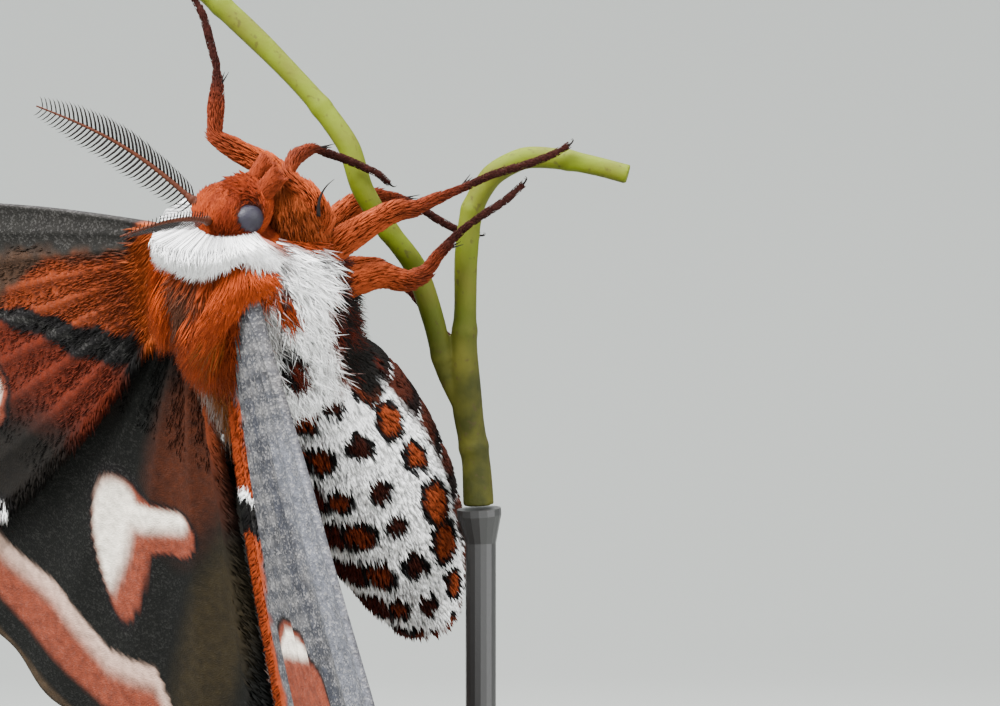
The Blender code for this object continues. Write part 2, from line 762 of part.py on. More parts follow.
def main():
    """Builds every node."""
    for old in list(bpy.data.objects):
        bpy.data.objects.remove(old, do_unlink=True)

    rings = [
        [on_thorax(place, 2 * math.pi * j / THORAX_SIDES, 0.0) for j in range(THORAX_SIDES)]
        for place, _, _ in THORAX_RINGS
    ]
    last = THORAX_RINGS[-1]
    rings[-1] = [
        body(last[0], last[2] * math.cos(a), last[1] * math.sin(a))
        for a in (2 * math.pi * j / THORAX_SIDES for j in range(THORAX_SIDES))
    ]
    core = loft("thorax", rings)
    cutters = [leg(name, GAP, 3) for name in LEGS]
    cutters += [wing("root", side, fore, GAP, 0.35) for side in WINGS for fore in (True, False)]
    cutters += [head_ball(GAP), abdomen_body(GAP)]
    cutters += [antenna_root(side) for side in (-1.0, 1.0)]
    node("thorax", [core, *thorax_locks()], "coat", cutters)

    cutters = [eye_ball(side, GAP) for side in (-1.0, 1.0)]
    cutters += [antenna_root(side) for side in (-1.0, 1.0)]
    cutters += [palp(side, GAP) for side in (-1.0, 1.0)]
    node("head", [head_ball(0.0), *face_locks()], "coat", cutters)
    for side, word in ((-1.0, "left"), (1.0, "right")):
        node(f"eye_{word}", [eye_ball(side, 0.0)], "eye")
        node(f"palp_{word}", [palp(side, 0.0)], "coat")
        antenna(side, f"antenna_{word}")

    node("abdomen", [abdomen_body(0.0)], "fur")
    for side in WINGS:
        node(f"forewing_{side}", [wing("fore", side, True)], "wing")
        node(f"hindwing_{side}", [wing("hind", side, False)], "wing")
    for name in LEGS:
        node(name, [leg(name)], "leg")

    node("perch", [stem(STEM_UPRIGHT), stem(STEM_BRANCH)], "stem")
    base()
    node("stand_rod", [rod(BASE_HEIGHT + GAP)], "stand")


main()
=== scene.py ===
"""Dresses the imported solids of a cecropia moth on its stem: skin, coat, wings, feelers, stand.

Sizes are in millimetres, measured from the middle of the thorax unless a docstring says
otherwise, and become metres when a mesh is made. The camera looks along +Y.
"""

import json
import logging
import math
from collections.abc import Callable
from dataclasses import dataclass
from enum import Enum

import bpy
import numpy as np
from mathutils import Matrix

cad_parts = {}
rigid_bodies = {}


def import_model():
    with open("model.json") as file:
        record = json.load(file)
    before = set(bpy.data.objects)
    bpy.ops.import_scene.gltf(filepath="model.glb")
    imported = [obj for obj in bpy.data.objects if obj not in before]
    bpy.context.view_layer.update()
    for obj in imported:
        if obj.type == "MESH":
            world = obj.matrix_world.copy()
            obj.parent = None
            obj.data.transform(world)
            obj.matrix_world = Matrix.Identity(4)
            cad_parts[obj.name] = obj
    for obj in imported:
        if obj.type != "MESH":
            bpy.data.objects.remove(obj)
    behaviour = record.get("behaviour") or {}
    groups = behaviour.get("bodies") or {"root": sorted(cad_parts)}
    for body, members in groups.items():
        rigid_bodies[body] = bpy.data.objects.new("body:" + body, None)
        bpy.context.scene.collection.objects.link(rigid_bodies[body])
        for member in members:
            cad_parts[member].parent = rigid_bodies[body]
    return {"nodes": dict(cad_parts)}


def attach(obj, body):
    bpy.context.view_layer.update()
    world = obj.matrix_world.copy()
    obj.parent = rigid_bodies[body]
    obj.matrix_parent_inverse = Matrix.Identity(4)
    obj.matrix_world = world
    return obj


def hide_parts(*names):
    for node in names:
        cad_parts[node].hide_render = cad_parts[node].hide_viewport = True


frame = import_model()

MM = 0.001
LOG = logging.getLogger("moth")
BODY = "root"
FULL = 2 * np.pi
SIDES = (("left", -1.0), ("right", 1.0))
Measure = float | np.ndarray
Material = bpy.types.Material
Mesh = bpy.types.Mesh
Object = bpy.types.Object
Socket = bpy.types.NodeSocket
Value = Socket | np.ndarray | float


def srgb(red: float, green: float, blue: float) -> np.ndarray:
    """A colour given as display values from 0 to 255, as linear light.

    Dark colours are deepened, because the studio is lit for the white fur.

    Args:
        red, green, blue: display values from 0 to 255.

    Returns:
        The colour as linear light.
    """
    value = np.array((red, green, blue), float) / 255.0
    light = np.where(value <= 0.04045, value / 12.92, ((value + 0.055) / 1.055) ** 2.4)
    return light * (0.23 + 0.84 * light.mean())


WHITE = srgb(246, 245, 244)
CREAM = srgb(226, 216, 200)
ORANGE = srgb(188, 74, 24)
RUST = srgb(122, 38, 11)
DARK_RUST = srgb(74, 25, 12)
BLACK = srgb(22, 18, 18)
PALE_GREY = srgb(176, 172, 168)
BRICK = srgb(156, 75, 52)
TAN = srgb(166, 134, 98)
GOLD = srgb(158, 102, 36)
DARK_BROWN = srgb(32, 26, 20)
CLAW_BROWN = srgb(34, 20, 18)


def unit(value: np.ndarray) -> np.ndarray:
    """The vectors of an array turned to length one."""
    value = np.asarray(value, float)
    return value / np.linalg.norm(value, axis=-1, keepdims=True)


def squared_up(first: np.ndarray, second: np.ndarray) -> np.ndarray:
    """The second directions turned square to the first, at length one."""
    return unit(second - np.sum(first * second, axis=-1, keepdims=True) * first)


def step(low: float, high: float, value: np.ndarray) -> np.ndarray:
    """A soft step from 0 at low to 1 at high."""
    part = np.clip((np.asarray(value, float) - low) / (high - low), 0.0, 1.0)
    return part * part * (3.0 - 2.0 * part)


def within(value: np.ndarray, first: float, full: float, fading: float, last: float) -> np.ndarray:
    """A soft window: up from 0 at first to 1 at full, down from fading to 0 at last."""
    return step(first, full, value) * step(last, fading, value)


def blend(base: np.ndarray, paint: np.ndarray, share: np.ndarray) -> np.ndarray:
    """Lays a paint over base colours where the share is one."""
    share = np.asarray(share, float)[..., None]
    return base * (1.0 - share) + paint * share


def bent(start: np.ndarray, middle: np.ndarray, end: np.ndarray, share: np.ndarray) -> np.ndarray:
    """Points of the curve from start to end that is drawn toward the middle one."""
    share = np.asarray(share, float)[..., None]
    return (1 - share) ** 2 * start + 2 * share * (1 - share) * middle + share**2 * end


def waves(places: np.ndarray, scale: float, seed: int) -> np.ndarray:
    """A smooth seeded ripple from -1 to 1 over places, for edges that wander.

    Args:
        places: rows of places.
        scale: how fast it changes over them.
        seed: what picks the ripple.

    Returns:
        One value a place.
    """
    rng = np.random.default_rng(seed)
    total = np.zeros(places.shape[:-1])
    for octave in range(4):
        way = rng.normal(size=places.shape[-1]) * scale * 1.7**octave
        total += np.sin(places @ way + rng.uniform(0, 6.28)) / 1.5**octave
    return total / 2.2


def degrees_round(angle: np.ndarray) -> np.ndarray:
    """Angles from the back, in degrees from -180 to 180."""
    return np.degrees(np.arctan2(np.sin(angle), np.cos(angle)))


class Paint:
    """Colours at many places, laid over one another."""

    def __init__(self, base: np.ndarray, shape: tuple) -> None:
        """Starts with one colour everywhere."""
        self.colour = np.broadcast_to(base, (*shape, 3))

    def lay(self, paint: np.ndarray, share: np.ndarray) -> None:
        """Lays one more paint where the share is one."""
        self.colour = blend(self.colour, paint, share)


class Seat:
    """A place with three square ways, from which a part's own sizes are taken."""

    def __init__(self, at: tuple, right: tuple, forward: tuple) -> None:
        """Squares the ways up.

        Args:
            at: the place.
            right: the way to the right.
            forward: about the way ahead.
        """
        self.at = np.asarray(at, float)
        self.right = unit(right)
        self.forward = squared_up(self.right, np.array(forward))
        self.dorsal = np.cross(self.right, self.forward)

    def place(self, forward: Measure, dorsal: Measure, right: Measure) -> np.ndarray:
        """Places at distances ahead, toward the back and to the right."""
        parts = [np.asarray(v, float)[..., None] for v in (forward, dorsal, right)]
        return self.at + parts[0] * self.forward + parts[1] * self.dorsal + parts[2] * self.right


THORAX_AT = np.array((-9.0, -11.0, 81.0))
TRUNK = Seat((0.0, 0.0, 0.0), (0.50, -0.74, -0.45), (-0.227, -0.613, 0.756))
SKULL = Seat(TRUNK.place(9.9, -0.3, 0.0), (0.40, -0.75, -0.53), (-0.188, -0.632, 0.752))


def tube(path: np.ndarray, halves: np.ndarray, across: np.ndarray, sides: int) -> tuple:
    """A closed tube along a path.

    Args:
        path: points along the middle.
        halves: its radius at each point, or half its width and half its thickness.
        across: the way its width points, one for all or one a point.
        sides: points round it.

    Returns:
        Its points and its faces as triangles.
    """
    path, halves = np.asarray(path, float), np.asarray(halves, float)
    if halves.ndim == 1:
        halves = np.column_stack((halves, halves))
    count = len(path)
    along = unit(np.gradient(path, axis=0))
    wide = squared_up(along, np.broadcast_to(across, path.shape))
    high = np.cross(along, wide)
    turn = FULL * np.arange(sides) / sides
    rings = (
        path[:, None]
        + wide[:, None] * (halves[:, :1] * np.cos(turn))[..., None]
        + high[:, None] * (halves[:, 1:] * np.sin(turn))[..., None]
    )
    points = np.concatenate((rings.reshape(-1, 3), path[:1], path[-1:]))
    i, j = np.meshgrid(np.arange(count - 1), np.arange(sides), indexing="ij")
    k = (j + 1) % sides
    a, b, c, d = i * sides + j, i * sides + k, (i + 1) * sides + k, (i + 1) * sides + j
    body = [np.stack(row, -1).reshape(-1, 3) for row in ((a, b, c), (a, c, d))]
    ring = np.arange(sides)
    after = (ring + 1) % sides
    first = np.stack((np.full(sides, count * sides), after, ring), -1)
    shift = (count - 1) * sides
    last = np.stack((np.full(sides, count * sides + 1), shift + ring, shift + after), -1)
    return points, np.concatenate((*body, first, last))


def smooth_path(rows: np.ndarray, count: int) -> np.ndarray:
    """Rows of places and sizes drawn out to a smooth run of many rows.

    Args:
        rows: places, with sizes after them.
        count: how many are wanted.

    Returns:
        The new rows.
    """
    rows = np.asarray(rows, float)
    gaps = np.linalg.norm(np.diff(rows[:, :3], axis=0), axis=1)
    stations = np.concatenate(([0.0], np.cumsum(gaps)))
    wanted = np.linspace(0.0, stations[-1], count)
    slopes = np.gradient(rows, stations, axis=0) * 0.8
    index = np.clip(np.searchsorted(stations, wanted, side="right") - 1, 0, len(rows) - 2)
    span = (stations[index + 1] - stations[index])[:, None]
    t = ((wanted - stations[index])[:, None]) / span
    ends = (2 * t**3 - 3 * t**2 + 1) * rows[index] + (-2 * t**3 + 3 * t**2) * rows[index + 1]
    return ends + span * ((t**3 - 2 * t**2 + t) * slopes[index] + (t**3 - t**2) * slopes[index + 1])


def round_spots(angle: np.ndarray, share: np.ndarray) -> np.ndarray:
    """Places of roots on the map OFBake: once round across, root to end upward."""
    return np.column_stack(((angle / FULL) % 1.0 * 0.98, share * 0.98))


def store_shade(mesh: Mesh, colour: np.ndarray) -> None:
    """Stores a colour at each point, for the finishes to read."""
    store = mesh.attributes.new("shade", "FLOAT_COLOR", "POINT")
    store.data.foreach_set("color", np.column_stack((colour, np.ones(len(colour)))).ravel())


class Form:
    """Points, faces and attributes of one mesh, gathered in arrays."""

    def __init__(self) -> None:
        """Starts empty."""
        self.points: list[np.ndarray] = []
        self.faces: list[np.ndarray] = []
        self.values: dict[str, list[np.ndarray]] = {}
        self.count = 0

    def add(self, points: np.ndarray, faces: np.ndarray, **values: np.ndarray) -> None:
        """Adds points, faces that index them, and per-point attributes.

        Args:
            points: the points.
            faces: rows of numbers into them.
            values: each attribute at every point.
        """
        self.points.append(np.asarray(points, float))
        self.faces.append(np.asarray(faces, int) + self.count)
        self.count += len(points)
        for name, value in values.items():
            self.values.setdefault(name, []).append(np.asarray(value, float))

    def add_tube(self, *sizes: object, colour: np.ndarray) -> None:
        """Adds a tube of one colour; the sizes are those of tube."""
        points, faces = tube(*sizes)
        self.add(points, faces, shade=np.broadcast_to(colour, points.shape))

    def mesh(self, name: str) -> Mesh:
        """Makes the mesh, in metres in the frame.

        Args:
            name: the mesh's name.

        Returns:
            The mesh, shaded smooth, with its attributes.
        """
        points = (np.concatenate(self.points) + THORAX_AT) * MM
        mesh = bpy.data.meshes.new(name)
        sizes = np.concatenate([np.full(len(f), f.shape[1]) for f in self.faces])
        corners = np.concatenate([f.ravel() for f in self.faces])
        mesh.vertices.add(len(points))
        mesh.vertices.foreach_set("co", points.ravel())
        mesh.loops.add(len(corners))
        mesh.loops.foreach_set("vertex_index", corners)
        mesh.polygons.add(len(sizes))
        mesh.polygons.foreach_set("loop_start", np.cumsum(sizes) - sizes)
        mesh.update(calc_edges=True)
        mesh.polygons.foreach_set("use_smooth", np.ones(len(sizes), bool))
        for key, parts in self.values.items():
            self._store(mesh, key, np.concatenate(parts), corners)
        mesh.validate()
        return mesh

    @staticmethod
    def _store(mesh: Mesh, key: str, value: np.ndarray, corners: np.ndarray) -> None:
        """Stores one attribute: colours, a map of two values on corners, or numbers.

        Args:
            mesh: the mesh.
            key: the attribute's name.
            value: its value at every point.
            corners: the point of each face corner.
        """
        if value.ndim == 1:
            mesh.attributes.new(key, "FLOAT", "POINT").data.foreach_set("value", value)
        elif value.shape[1] == 2:
            mesh.uv_layers.new(name=key).data.foreach_set("uv", value[corners].ravel())
        elif key == "shade":
            store_shade(mesh, value)
        else:
            mesh.attributes.new(key, "FLOAT_VECTOR", "POINT").data.foreach_set("vector", value.ravel())


def new_object(name: str, mesh: Mesh, *finish: Material) -> Object:
    """Links a mesh into the scene under a name, with its material if it has one.

    Args:
        name: its name.
        mesh: its mesh, or a light's or camera's data.
        finish: its material, if any.

    Returns:
        The object, at the origin.
    """
    made = bpy.data.objects.new(name, mesh)
    bpy.context.scene.collection.objects.link(made)
    for material in finish:
        mesh.materials.append(material)
    return made


def settle(piece: Object, slot: str, *nodes: str) -> None:
    """Fixes a finished piece to the body and hides the nodes it stands for.

    Args:
        piece: the piece.
        slot: not used.
        nodes: the nodes it stands for.
    """
    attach(piece, BODY)
    if nodes:
        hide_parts(*nodes)
    LOG.info("%s: %d faces", piece.name, len(piece.data.polygons))


def made_plain(made: Object, finish: Material) -> Mesh:
    """Turns an object and its live modifiers into a plain smooth mesh with one material.

    Args:
        made: the object.
        finish: its material.

    Returns:
        The new mesh.
    """
    graph = bpy.context.evaluated_depsgraph_get()
    plain = bpy.data.meshes.new_from_object(made.evaluated_get(graph))
    made.modifiers.clear()
    made.data = plain
    plain.materials.clear()
    plain.materials.append(finish)
    plain.polygons.foreach_set("use_smooth", np.ones(len(plain.polygons), bool))
    return plain


def fused(form: Form, name: str, finish: Material, voxel: float, rounds: int) -> tuple:
    """Fuses the overlapping solids of a form into one.

    Args:
        form: the solids.
        name: the object's name.
        finish: its material.
        voxel: how fine it gets.
        rounds: how many times it is smoothed.

    Returns:
        The object, and its points measured as the form's.
    """
    made = new_object(name, form.mesh(name), finish)
    remesh = made.modifiers.new("fuse", "REMESH")
    remesh.mode = "VOXEL"
    remesh.voxel_size = voxel * MM
    soften = made.modifiers.new("soften", "SMOOTH")
    soften.factor, soften.iterations = 0.5, rounds
    plain = made_plain(made, finish)
    points = np.empty(len(plain.vertices) * 3)
    plain.vertices.foreach_get("co", points)
    return made, points.reshape(-1, 3) / MM - THORAX_AT


@dataclass
class Thorax:
    """The thorax: its core rings of place, half width and half height, and its coat's colours.

    The collar gives angles from the back and how far back the white fur reaches there.
    """

    rings: tuple = (
        *((-6.6, 4.4, 4.7), (-5.4, 5.0, 5.3), (-3.0, 5.7, 6.0), (0.0, 5.9, 6.2), (3.0, 5.6, 5.8)),
        *((5.6, 4.8, 4.9), (7.4, 3.6, 3.5), (8.4, 2.2, 2.2)),
    )
    rear: float = -5.4
    ends: tuple[float, float] = (-6.4, 8.4)
    collar: tuple = (
        (-100, -60, -20, 0, 20, 30, 55, 66, 80, 90, 100),
        (7.2, 7.6, 7.5, 8.1, 7.8, 7.9, 8.5, 8.8, 8.3, 7.4, 7.2),
    )

    def halves(self, place: np.ndarray) -> list:
        """Half width and half height of the core at places along it."""
        rings = np.array(self.rings)
        return [np.interp(place, rings[:, 0], rings[:, k]) for k in (1, 2)]

    def surface(self, place: np.ndarray, angle: np.ndarray, height: np.ndarray) -> np.ndarray:
        """Points at a height over the core, at an angle from the back to the right."""
        wide, high = (half + height for half in self.halves(np.maximum(place, self.rear)))
        return TRUNK.place(place, high * np.cos(angle), wide * np.sin(angle))

    def rim(self, angle: np.ndarray) -> np.ndarray:
        """How far back the white collar reaches at an angle."""
        return np.interp(degrees_round(angle), *self.collar)

    def core(self) -> tuple:
        """The core as points and triangles."""
        place = np.linspace(*self.ends, 30)
        return tube(TRUNK.place(place, 0.0, 0.0), np.column_stack(self.halves(place)), TRUNK.right, 36)

    def shade(self, place: np.ndarray, angle: np.ndarray) -> np.ndarray:
        """Colours of the coat from the root's place along the thorax and angle round it.

        Args:
            place: roots' places along the thorax.
            angle: their angles from the back.

        Returns:
            One colour a root.
        """
        turn = np.abs(degrees_round(angle))
        wander = waves(np.stack((place, turn / 10.0), -1), 0.9, 3)
        coat = Paint(ORANGE, np.shape(place))
        coat.lay(RUST, step(0.2, 0.9, wander) * 0.35)
        crown = step(36, 20, turn + 4 * wander) * within(place, 0.5, 2.5, 5.0, 6.6)
        coat.lay(srgb(114, 76, 56), crown * 0.9)
        coat.lay(GOLD, step(-1.4, -3.4, place + 0.6 * wander) * step(58, 44, turn) * 0.7)
        coat.lay(PALE_GREY, step(-2.4, -4.0, place) * step(16, 4, turn + 8 * wander) * 0.7)
        low = np.interp(place, (-7.0, -4.5, -1.0, 4.2, 5.0, 7.0), (58, 60, 64, 65, 88, 86))
        high = np.interp(place, (-7.0, -1.0, 1.5, 3.2, 7.0), (112, 112, 116, 150, 156)) - 6 * wander
        front = np.interp(turn, (92, 100, 118, 130, 150), (9.8, 7.6, 7.0, 6.0, 4.5)) + 0.3 * wander
        side = step(low - 3, low + 4, turn + 3 * wander) * step(high + 2, high - 5, turn)
        coat.lay(WHITE, side * step(front + 0.3, front - 0.3, place))
        for paint, at, round_at, long, wide, depth in (
            (PALE_GREY, 2.4, 74, 2.5, 10.0, 0.85),
            (ORANGE, 3.5, 89, 1.7, 7.5, 1.0),
            (BLACK, 0.9, 80, 0.8, 6.0, 0.9),
            (BLACK, -2.0, 79, 2.3, 9.5, 1.0),
            (RUST, -2.4, 81, 1.5, 5.5, 1.0),
            (BLACK, 2.6, 152, 1.8, 9.0, 0.85),
            # painted shade: grey under the mid leg, between the white side and the leg roots
            (srgb(84, 80, 84), 4.6, 137, 1.1, 7.0, 0.75),
            (srgb(70, 66, 68), 6.0, 91, 1.7, 3.4, 0.8),
            (srgb(84, 72, 66), 7.2, 104, 0.9, 7.0, 0.8),
        ):
            away = np.hypot((place - at) / long, (turn - round_at) / wide) + 0.15 * wander
            coat.lay(paint, step(1.1, 0.8, away) * depth)
        belly = step(high - 2, high + 4, turn)
        coat.lay(RUST, belly)
        coat.lay(DARK_BROWN, belly * step(3.4, 2.4, place) * step(0.6, 0.1, wander))
        rim = self.rim(angle) + 0.25 * wander
        coat.lay(WHITE, step(rim - 0.35, rim + 0.15, place) * step(104, 96, turn))
        return coat.colour


@dataclass
class Abdomen:
    """The abdomen: its line, its radius at shares of it, and its spots and bands."""

    start: tuple = (3.9, 4.5, -5.2)
    middle: tuple = (9.0, 12.0, -15.4)
    end: tuple = (13.5, 20.0, -27.8)
    shares: tuple = (0.0, 0.06, 0.15, 0.3, 0.5, 0.7, 0.85, 0.95, 1.0)
    radii: tuple = (4.7, 5.5, 6.1, 6.6, 6.5, 5.7, 4.4, 2.9, 1.6)
    segments: float = 6.25
    first: float = 0.4
    fold: float = 0.28
    flatness: float = 0.97

    def line(self, share: np.ndarray) -> np.ndarray:
        """Points of the middle line."""
        start, middle, end = np.array((self.start, self.middle, self.end))
        return bent(start, 2 * middle - 0.5 * (start + end), end, share)

    def axes(self, share: np.ndarray) -> tuple:
        """The ways toward the tail, to the right and to the back at each share.

        Args:
            share: shares of the line.

        Returns:
            The three ways, one row a share.
        """
        along = unit(self.line(np.asarray(share) + 0.01) - self.line(np.asarray(share) - 0.01))
        right = squared_up(along, np.broadcast_to(TRUNK.right, along.shape))
        return along, right, np.cross(along, right)

    def radius(self, share: np.ndarray) -> np.ndarray:
        """The radius with the folds between the rings."""
        part = (np.asarray(share) * self.segments + self.first) % 1.0
        return np.interp(share, self.shares, self.radii) - self.fold * (1.0 - np.minimum(part / 0.3, 1.0))

    def core(self) -> tuple:
        """The core as points and triangles.

        Returns:
            Its points and faces.
        """
        share = np.linspace(0.0, 1.0, 80)
        radius = self.radius(share)
        return tube(self.line(share), np.column_stack((radius, radius * self.flatness)), TRUNK.right, 40)

    def shade(self, share: np.ndarray, angle: np.ndarray) -> np.ndarray:
        """Colours from the share along the line and the angle from the back.

        Args:
            share: shares of the line.
            angle: angles from the back.

        Returns:
            One colour a root.
        """
        turn = np.abs(degrees_round(angle))
        spots = np.stack((share * 20, turn / 12.0), -1)
        wander, ragged = waves(spots, 0.8, 5), waves(spots, 3.0, 6)
        count = share * self.segments + self.first + 0.05 * wander
        part, number = count % 1.0, np.floor(count)
        coat = Paint(WHITE, np.shape(share))
        # painted shade: grey patches in the white fur, for the shade under its thin hair
        coat.lay(srgb(110, 98, 94), step(0.8, 1.0, waves(spots * 2.6, 1.0, 9)) * 0.4)
        dorsal = step(42, 34, turn + 4 * wander)
        coat.lay(BLACK, dorsal * within(part, 0.12, 0.18, 0.8, 0.86))
        coat.lay(RUST, dorsal * within(part, 0.2, 0.27, 0.7, 0.76))
        for centre, middle, tall, wide, inner in (
            (48, 0.55, 0.33, 14.0, srgb(166, 66, 25)),
            (79, 0.60, 0.28, 10.5, srgb(92, 34, 16)),
            (114, 0.53, 0.45, 13.8, srgb(182, 78, 34)),
        ):
            shift = middle + 0.05 * np.sin(number * 2.3 + centre)
            grow = 1.0 + 0.12 * np.sin(number * 1.7 + centre * 2)
            away = np.hypot((part - shift) / tall, (turn - centre) / wide) / grow
            away = away + 0.18 * wander + 0.1 * ragged
            coat.lay(BLACK, step(1.08, 0.96, away))
            coat.lay(inner, step(0.8, 0.55, away))
        belly = step(130, 138, turn + 4 * wander)
        coat.lay(srgb(108, 44, 22), belly)
        coat.lay(BLACK, belly * step(0.5, 0.7, part + 0.1 * wander) * 0.9)
        coat.lay(WHITE, belly * step(0.14, 0.06, part) * 0.8)
        front = step(0.13, 0.05, share + 0.02 * wander) * step(100, 112, turn)
        coat.lay(DARK_BROWN, front)
        coat.lay(RUST, front * step(0.4, 0.8, wander))
        coat.lay(RUST, step(0.95, 0.99, share))
        return coat.colour


@dataclass
class Head:
    """The head: its core and palps, and the red of its fur."""

    radii: tuple = (2.9, 2.9, 2.15)
    palp_length: float = 1.9
    palp_radius: float = 0.75
    eye: tuple = (2.45, -0.47, 0.3)

    def surface(self, way: np.ndarray, height: float) -> np.ndarray:
        """Points at a height over the core, along ways to the right, the crown and ahead."""
        place = unit(way) * (np.array(self.radii) + height)
        return SKULL.place(place[..., 2], place[..., 1], place[..., 0])

    def core(self) -> tuple:
        """The core as points and triangles.

        Returns:
            Its points and faces.
        """
        turn = np.linspace(0.02, np.pi - 0.02, 22)
        halves = np.array(self.radii[:2]) * np.sin(turn)[:, None]
        return tube(SKULL.place(-self.radii[2] * np.cos(turn), 0.0, 0.0), halves, SKULL.right, 32)

    def palp_line(self, side: float) -> tuple:
        """The root and the aim of one palp."""
        aim = unit(SKULL.forward * 0.62 - SKULL.dorsal * 0.78 + SKULL.right * side * 0.08)
        return SKULL.place(0.9, -2.2, side * 0.95), aim

    def palp(self, side: float) -> tuple:
        """One palp as points and triangles.

        Args:
            side: -1 for the left one, 1 for the right one.

        Returns:
            Its points and faces.
        """
        root, aim = self.palp_line(side)
        share = np.array((-0.25, 0.0, 0.3, 0.7, 0.9, 1.0))
        radius = self.palp_radius * np.array((0.7, 0.8, 1.0, 0.9, 0.7, 0.3))
        return tube(root + aim * self.palp_length * share[:, None], radius, SKULL.right, 12)

    def shade(self, way: np.ndarray) -> np.ndarray:
        """Colours of the fur from the way out of the head.

        Args:
            way: ways out of the head.

        Returns:
            One colour a way.
        """
        wander = waves(way * 3.0, 1.0, 12)
        coat = Paint(srgb(148, 50, 8), way.shape[:1])
        coat.lay(DARK_RUST, step(0.3, 1.0, wander) * 0.4)
        coat.lay(ORANGE, step(0.2, -0.8, wander) * 0.7)
        return coat.colour


class LegName(Enum):
    """The six legs."""

    FORE_RIGHT = "foreleg_right"
    FORE_LEFT = "foreleg_left"
    MID_RIGHT = "midleg_right"
    MID_LEFT = "midleg_left"
    HIND_RIGHT = "hindleg_right"
    HIND_LEFT = "hindleg_left"


LEG_ROWS: dict[LegName, tuple] = {
    LegName.FORE_RIGHT: (
        *((4.1, -3.4, 5.3, 1.15), (4.9, -4.2, 6.8, 1.15), (4.2, -5.6, 8.8, 0.95), (2.6, -6.4, 10.5, 0.65)),
        *((2.9, -6.0, 11.6, 0.75), (4.4, -4.4, 12.8, 0.6), (5.6, -2.8, 12.5, 0.36), (6.9, -1.5, 12.1, 0.34)),
        *((8.4, -0.75, 11.5, 0.32), (9.7, -0.35, 10.9, 0.3), (10.5, 0.9, 10.2, 0.26)),
    ),
    LegName.FORE_LEFT: (
        *((2.2, 0.2, 7.6, 1.15), (2.4, 0.9, 9.4, 1.2), (0.6, 0.9, 11.4, 1.1), (-2.0, 0.5, 12.9, 0.95)),
        *((-3.7, 0.3, 14.0, 0.75), (-3.9, 0.5, 16.0, 0.9), (-3.8, 0.9, 18.4, 0.75), (-3.9, 1.1, 20.0, 0.45)),
        *((-4.4, 1.2, 22.0, 0.38), (-5.0, 1.2, 24.2, 0.34), (-5.9, 1.2, 26.0, 0.32), (-6.6, 1.3, 27.6, 0.28)),
    ),
    LegName.MID_RIGHT: (
        *((4.9, -2.2, 3.6, 1.2), (6.4, -2.4, 4.9, 1.25), (8.6, -2.2, 6.4, 1.1), (11.0, -1.6, 7.7, 0.95)),
        *((12.6, -1.0, 8.0, 0.7), (14.2, -0.4, 8.7, 0.62), (16.8, 0.4, 9.8, 0.55), (19.2, 0.9, 10.9, 0.45)),
        *((20.8, 1.1, 11.4, 0.36), (22.4, 1.3, 11.9, 0.34), (24.2, 1.3, 12.6, 0.32), (25.6, 1.4, 13.4, 0.28)),
    ),
    LegName.MID_LEFT: (
        *((3.7, 2.9, 4.6, 1.15), (5.2, 3.9, 6.4, 1.15), (7.2, 4.8, 8.3, 1.0), (9.2, 5.4, 9.2, 0.75)),
        *((11.3, 5.9, 9.0, 0.7), (13.2, 6.3, 8.2, 0.5), (14.8, 6.6, 7.2, 0.36), (16.4, 6.6, 6.4, 0.32)),
        (18.0, 6.4, 6.0, 0.28),
    ),
    LegName.HIND_RIGHT: (
        *((5.2, -0.8, 0.4, 1.2), (7.2, -1.1, 1.7, 1.25), (9.6, -0.6, 2.4, 1.1), (12.2, 0.1, 2.1, 0.9)),
        *((13.2, 0.5, 2.5, 0.75), (14.8, 0.9, 4.3, 0.7), (16.8, 1.4, 6.4, 0.55), (18.6, 1.8, 7.7, 0.38)),
        *((20.4, 2.1, 8.9, 0.34), (21.8, 2.4, 10.2, 0.28)),
    ),
    LegName.HIND_LEFT: (
        *((4.5, 5.0, 1.8, 1.15), (6.4, 6.6, 2.9, 1.15), (9.0, 8.2, 3.2, 0.95), (11.4, 9.0, 2.2, 0.7)),
        *((13.0, 8.8, 0.4, 0.65), (14.4, 8.2, -1.6, 0.5), (15.8, 7.6, -3.0, 0.36), (17.2, 7.4, -4.2, 0.3)),
    ),
}
THROAT = (
    *((3.4, -1.2, 3.8, 1.5), (3.2, -2.6, 5.4, 1.9), (3.0, -4.0, 7.4, 2.0), (2.6, -4.8, 9.2, 1.5)),
    (2.3, -5.1, 10.4, 0.7),
)


@dataclass
class Leg:
    """One leg: a smooth run through its places, slimmer than the solid by the fur's depth."""

    name: LegName
    fur_depth: float = 0.29
    slimmest: float = 0.2

    def run(self, count: int = 90) -> np.ndarray:
        """Smooth rows of place and half thickness."""
        return smooth_path(LEG_ROWS[self.name], count)

    def slim(self, half: np.ndarray) -> np.ndarray:
        """The radius under the fur where the solid has this one."""
        return np.maximum(half - self.fur_depth * step(0.3, 0.6, half), self.slimmest)

    def core(self) -> tuple:
        """The leg under its fur as points and triangles.

        Returns:
            Its points and faces.
        """
        rows = self.run()
        share = np.linspace(0.0, 1.0, len(rows))
        radius = self.slim(rows[:, 3]) + 0.05 * np.sin(share * 90.0) * step(0.6, 0.75, share)
        return tube(rows[:, :3], radius, TRUNK.dorsal, 12)

    def shade(self, share: np.ndarray) -> np.ndarray:
        """Colours from root to claw.

        Args:
            share: shares of the leg's length.

        Returns:
            One colour a share.
        """
        coat = Paint(srgb(186, 80, 34), share.shape)
        coat.lay(srgb(144, 56, 22), step(0.2, 0.42, share))
        coat.lay(srgb(88, 36, 26), step(0.48, 0.64, share))
        return coat.colour


class WingSide(Enum):
    """The moth's two sides."""

    RIGHT = "right"
    LEFT = "left"


